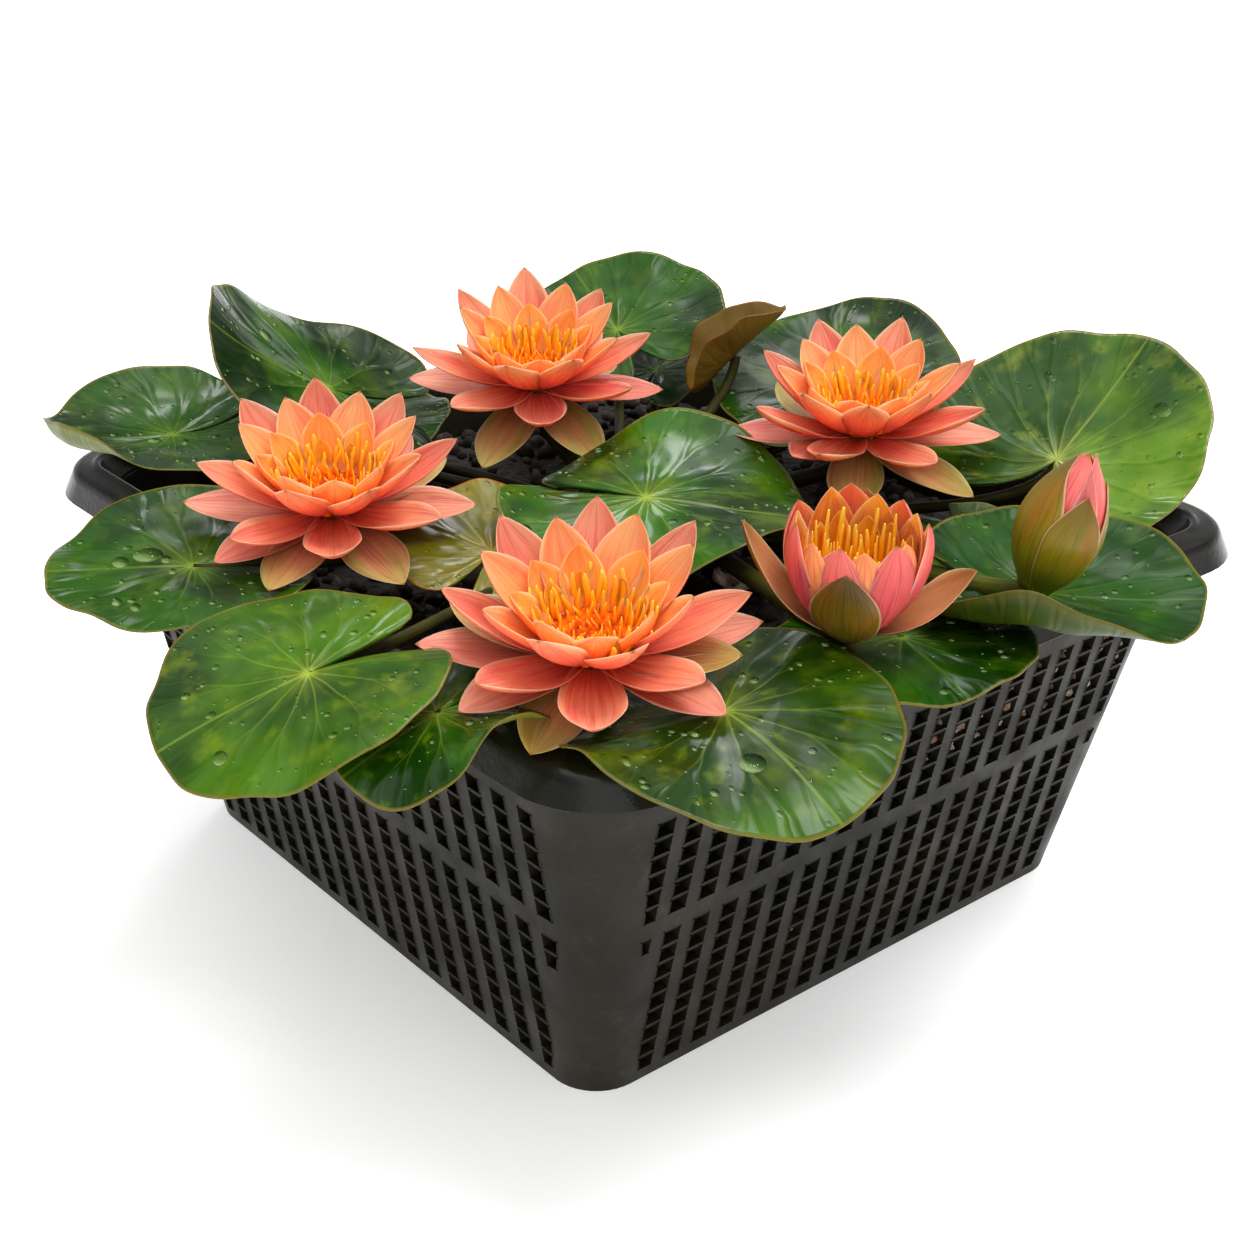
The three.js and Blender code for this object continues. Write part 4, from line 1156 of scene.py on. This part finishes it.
def make_scrap(material):
    """A withered, crumpled flake lying on the gravel."""
    middle, half_length, half_width, lift, thickness = (44.0, 0.0), 8.5, 3.4, 3.2, 0.35
    along, across = np.meshgrid(np.linspace(-1, 1, 30), np.linspace(-1, 1, 12), indexing="ij")
    half = half_width * (1 - np.abs(along) ** 2.2) ** 0.8 * (1 + 0.25 * np.sin(along * 9)) + 0.15
    crumple = 0.8 * np.sin(along * 5 + 2 * across) + 0.5 * np.sin(across * 4 - along * 7)
    x = middle[0] + half_length * along + 0.3 * across
    y = middle[1] + half * across + 1.2 * np.sin(along * 3)
    z = soil_height(*middle) + lift + crumple + 1.2 * across ** 2 + 1.5 * along ** 2
    top = np.stack([x, y, z], -1)[:, ::-1]
    uv = np.stack([across * 0.5 + 0.5, along * 0.5 + 0.5], -1)[:, ::-1]
    shell = Shell()
    shell.sheet(top, top - (0, 0, thickness), uv)
    shell.build("withered_scrap", [material], "leaf")


# ---------- camera, floor and light
camera_azimuth, camera_elevation, camera_distance, camera_target = 50.59, 25.45, 0.506, (0, 0, 0.06)
camera_lens, camera_sensor, camera_shift = 55.26, 36, (0.0019, 0.0034)
floor_reach = 6.0
# Each sun has the way to it, its strength and how wide its light is, in degrees.
suns = {"key": ((0.15, 0.35, 1.0), 2.1, 30), "fill": ((0.7, -0.45, 0.6), 0.7, 60),
        "back": ((-0.51, 0.43, 0.74), 0.55, 14)}
sky_strength = 1.7
# The sky's linear levels, from the horizon up to overhead.
sky_levels = [(0.0, 0.55), (0.2, 0.35), (0.42, 0.08), (0.62, 0.3), (0.85, 1.0)]


def make_camera():
    back = Vector(direction(camera_azimuth - 90, camera_elevation))
    data = bpy.data.cameras.new("camera")
    data.sensor_width = camera_sensor
    data.lens = camera_lens
    data.shift_x, data.shift_y = camera_shift
    camera = add_object("camera", data)
    camera.location = Vector(camera_target) + back * camera_distance
    camera.rotation_euler = back.to_track_quat("Z", "Y").to_euler()
    bpy.context.scene.camera = camera


def make_stage():
    mesh = bpy.data.meshes.new("floor")
    corners = [(x * floor_reach, y * floor_reach, 0) for x, y in ((-1, -1), (1, -1), (1, 1), (-1, 1))]
    mesh.from_pydata(corners, [], [(0, 1, 2, 3)])
    mesh.materials.append(floor_material())
    add_object("floor", mesh)
    bpy.context.scene.view_settings.view_transform = "Standard"
    make_sky()
    for name, (source, strength, spread) in suns.items():
        data = bpy.data.lights.new(name, "SUN")
        data.energy = strength
        data.angle = math.radians(spread)
        add_object(name, data).rotation_euler = Vector(source).to_track_quat("Z", "Y").to_euler()


def make_sky():
    """A soft studio dome: bright overhead, dark half-way down, lighter again at the horizon."""
    s = Shade("studio", bpy.data.worlds, "Background", Strength=sky_strength)
    height = s.node("SeparateXYZ", {0: s.node("TexCoord").outputs["Generated"]}).outputs[2]
    stops = [(stop, grey(level)) for stop, level in sky_levels]
    bpy.context.scene.world = s.done(Color=s.ramp(height, stops))


# ---------- the whole
petiole_radius, peduncle_radius, bud_stalk_radius = 1.4, 2.1, 2.3
vein, rim_brown = (138, 158, 50), (120, 104, 40)
undersides = {
    "leaf_under": ((64, 84, 12), (98, 104, 22), (124, 120, 40)),
    "leaf_deep_under": ((34, 54, 3), (60, 76, 8), (100, 92, 22)),
    "olive_under": ((126, 80, 40), (140, 104, 50), (150, 110, 60)),
    "bronze_under": ((110, 78, 20), (128, 100, 28), (128, 92, 40)),
}
# Each blade look: its underside, its dark, middle, light, vein and rim colours, and what else differs.
blade_looks = {
    "green": ("leaf_under", ((12, 42, 2), (42, 90, 3), (100, 130, 11), vein, rim_brown), dict(gloss=0.16)),
    "dark": ("leaf_under", ((8, 34, 1), (32, 74, 2), (80, 108, 8), (108, 136, 34), rim_brown),
             dict(gloss=0.12)),
    "fresh": ("leaf_under", ((20, 50, 2), (58, 98, 3), (118, 138, 12), vein, rim_brown),
              dict(gloss=0.14, relief=0.5)),
    "deep": ("leaf_deep_under", ((8, 34, 1), (24, 68, 1), (66, 98, 6), (92, 124, 26), rim_brown),
             dict(gloss=0.08)),
    # The pale look's lighter greens are partly the leaf's own colour and partly painted reflection of the
    # sky.
    "pale": ("leaf_under", ((30, 68, 6), (84, 124, 18), (146, 160, 48), (158, 172, 76), rim_brown), {}),
    "olive": ("olive_under", ((84, 84, 10), (124, 112, 18), (152, 132, 30), (166, 146, 60), (150, 70, 30)),
              dict(blush=0.6)),
    "bronze": ("bronze_under", ((104, 80, 18), (126, 96, 26), (136, 102, 38), (140, 104, 48), (128, 64, 30)),
               dict(blush=0.7, veining=0.15, relief=0.12)),
}


def petal_materials():
    """A face and a back for every petal look, then the stamens and the heart."""
    brown_point, warm_point = (134, 84, 34), (240, 142, 56)
    dull_glow, full_glow = 0.15, 0.45
    materials = []
    for look, faces in petal_shades.items():
        point = warm_point if look in warm_tipped else brown_point
        glow = dull_glow if look in dull else full_glow
        for shades, side in zip(faces, ("", "_back")):
            materials.append(petal_material(f"petal_{look}{side}", shades, point, glow))
    return materials + [stamen_material(), heart_material()]


def make_peduncle(name, flower, radius, material, node):
    up = leaning(*flower["lean"]) @ (0, 0, 1)
    make_stalk(f"peduncle_{name}", flower["base"], up, flower, radius, material, node)


def make_all():
    make_camera()
    make_stage()
    make_basket(plastic_material(), rim_material())
    make_soil(soil_material())
    make_gravel(gravel_material())
    stalk_skin = stalk_material()
    make_crown(stalk_skin)
    backs = {name: underside_material(name, *shades) for name, shades in undersides.items()}
    blades = {look: [leaf_material(f"leaf_{look}", *shades, **rest), backs[back]]
              for look, (back, shades, rest) in blade_looks.items()}
    for name, leaf in leaves.items():
        make_leaf(name, leaf, blades[leaf["look"]])
        normal = leaf_axes(leaf)[2]
        make_stalk(f"petiole_{name}", leaf["hub"] - normal * leaf_thickness, normal, leaf, petiole_radius,
                   stalk_skin, f"leaf_stalk_{name}")
    petals = petal_materials()
    for name, flower in flowers.items():
        make_flower(name, flower, petals)
        make_peduncle(name, flower, peduncle_radius, stalk_skin, f"flower_stalk_{name}")
    make_bud(petals)
    bud_skin = stalk_material("bud_stalk_skin", (52, 66, 12), (84, 88, 22))
    make_peduncle("bud", bud, bud_stalk_radius, bud_skin, "bud_stalk")
    make_water(water_material())
    make_scrap(scrap_material())


make_all()
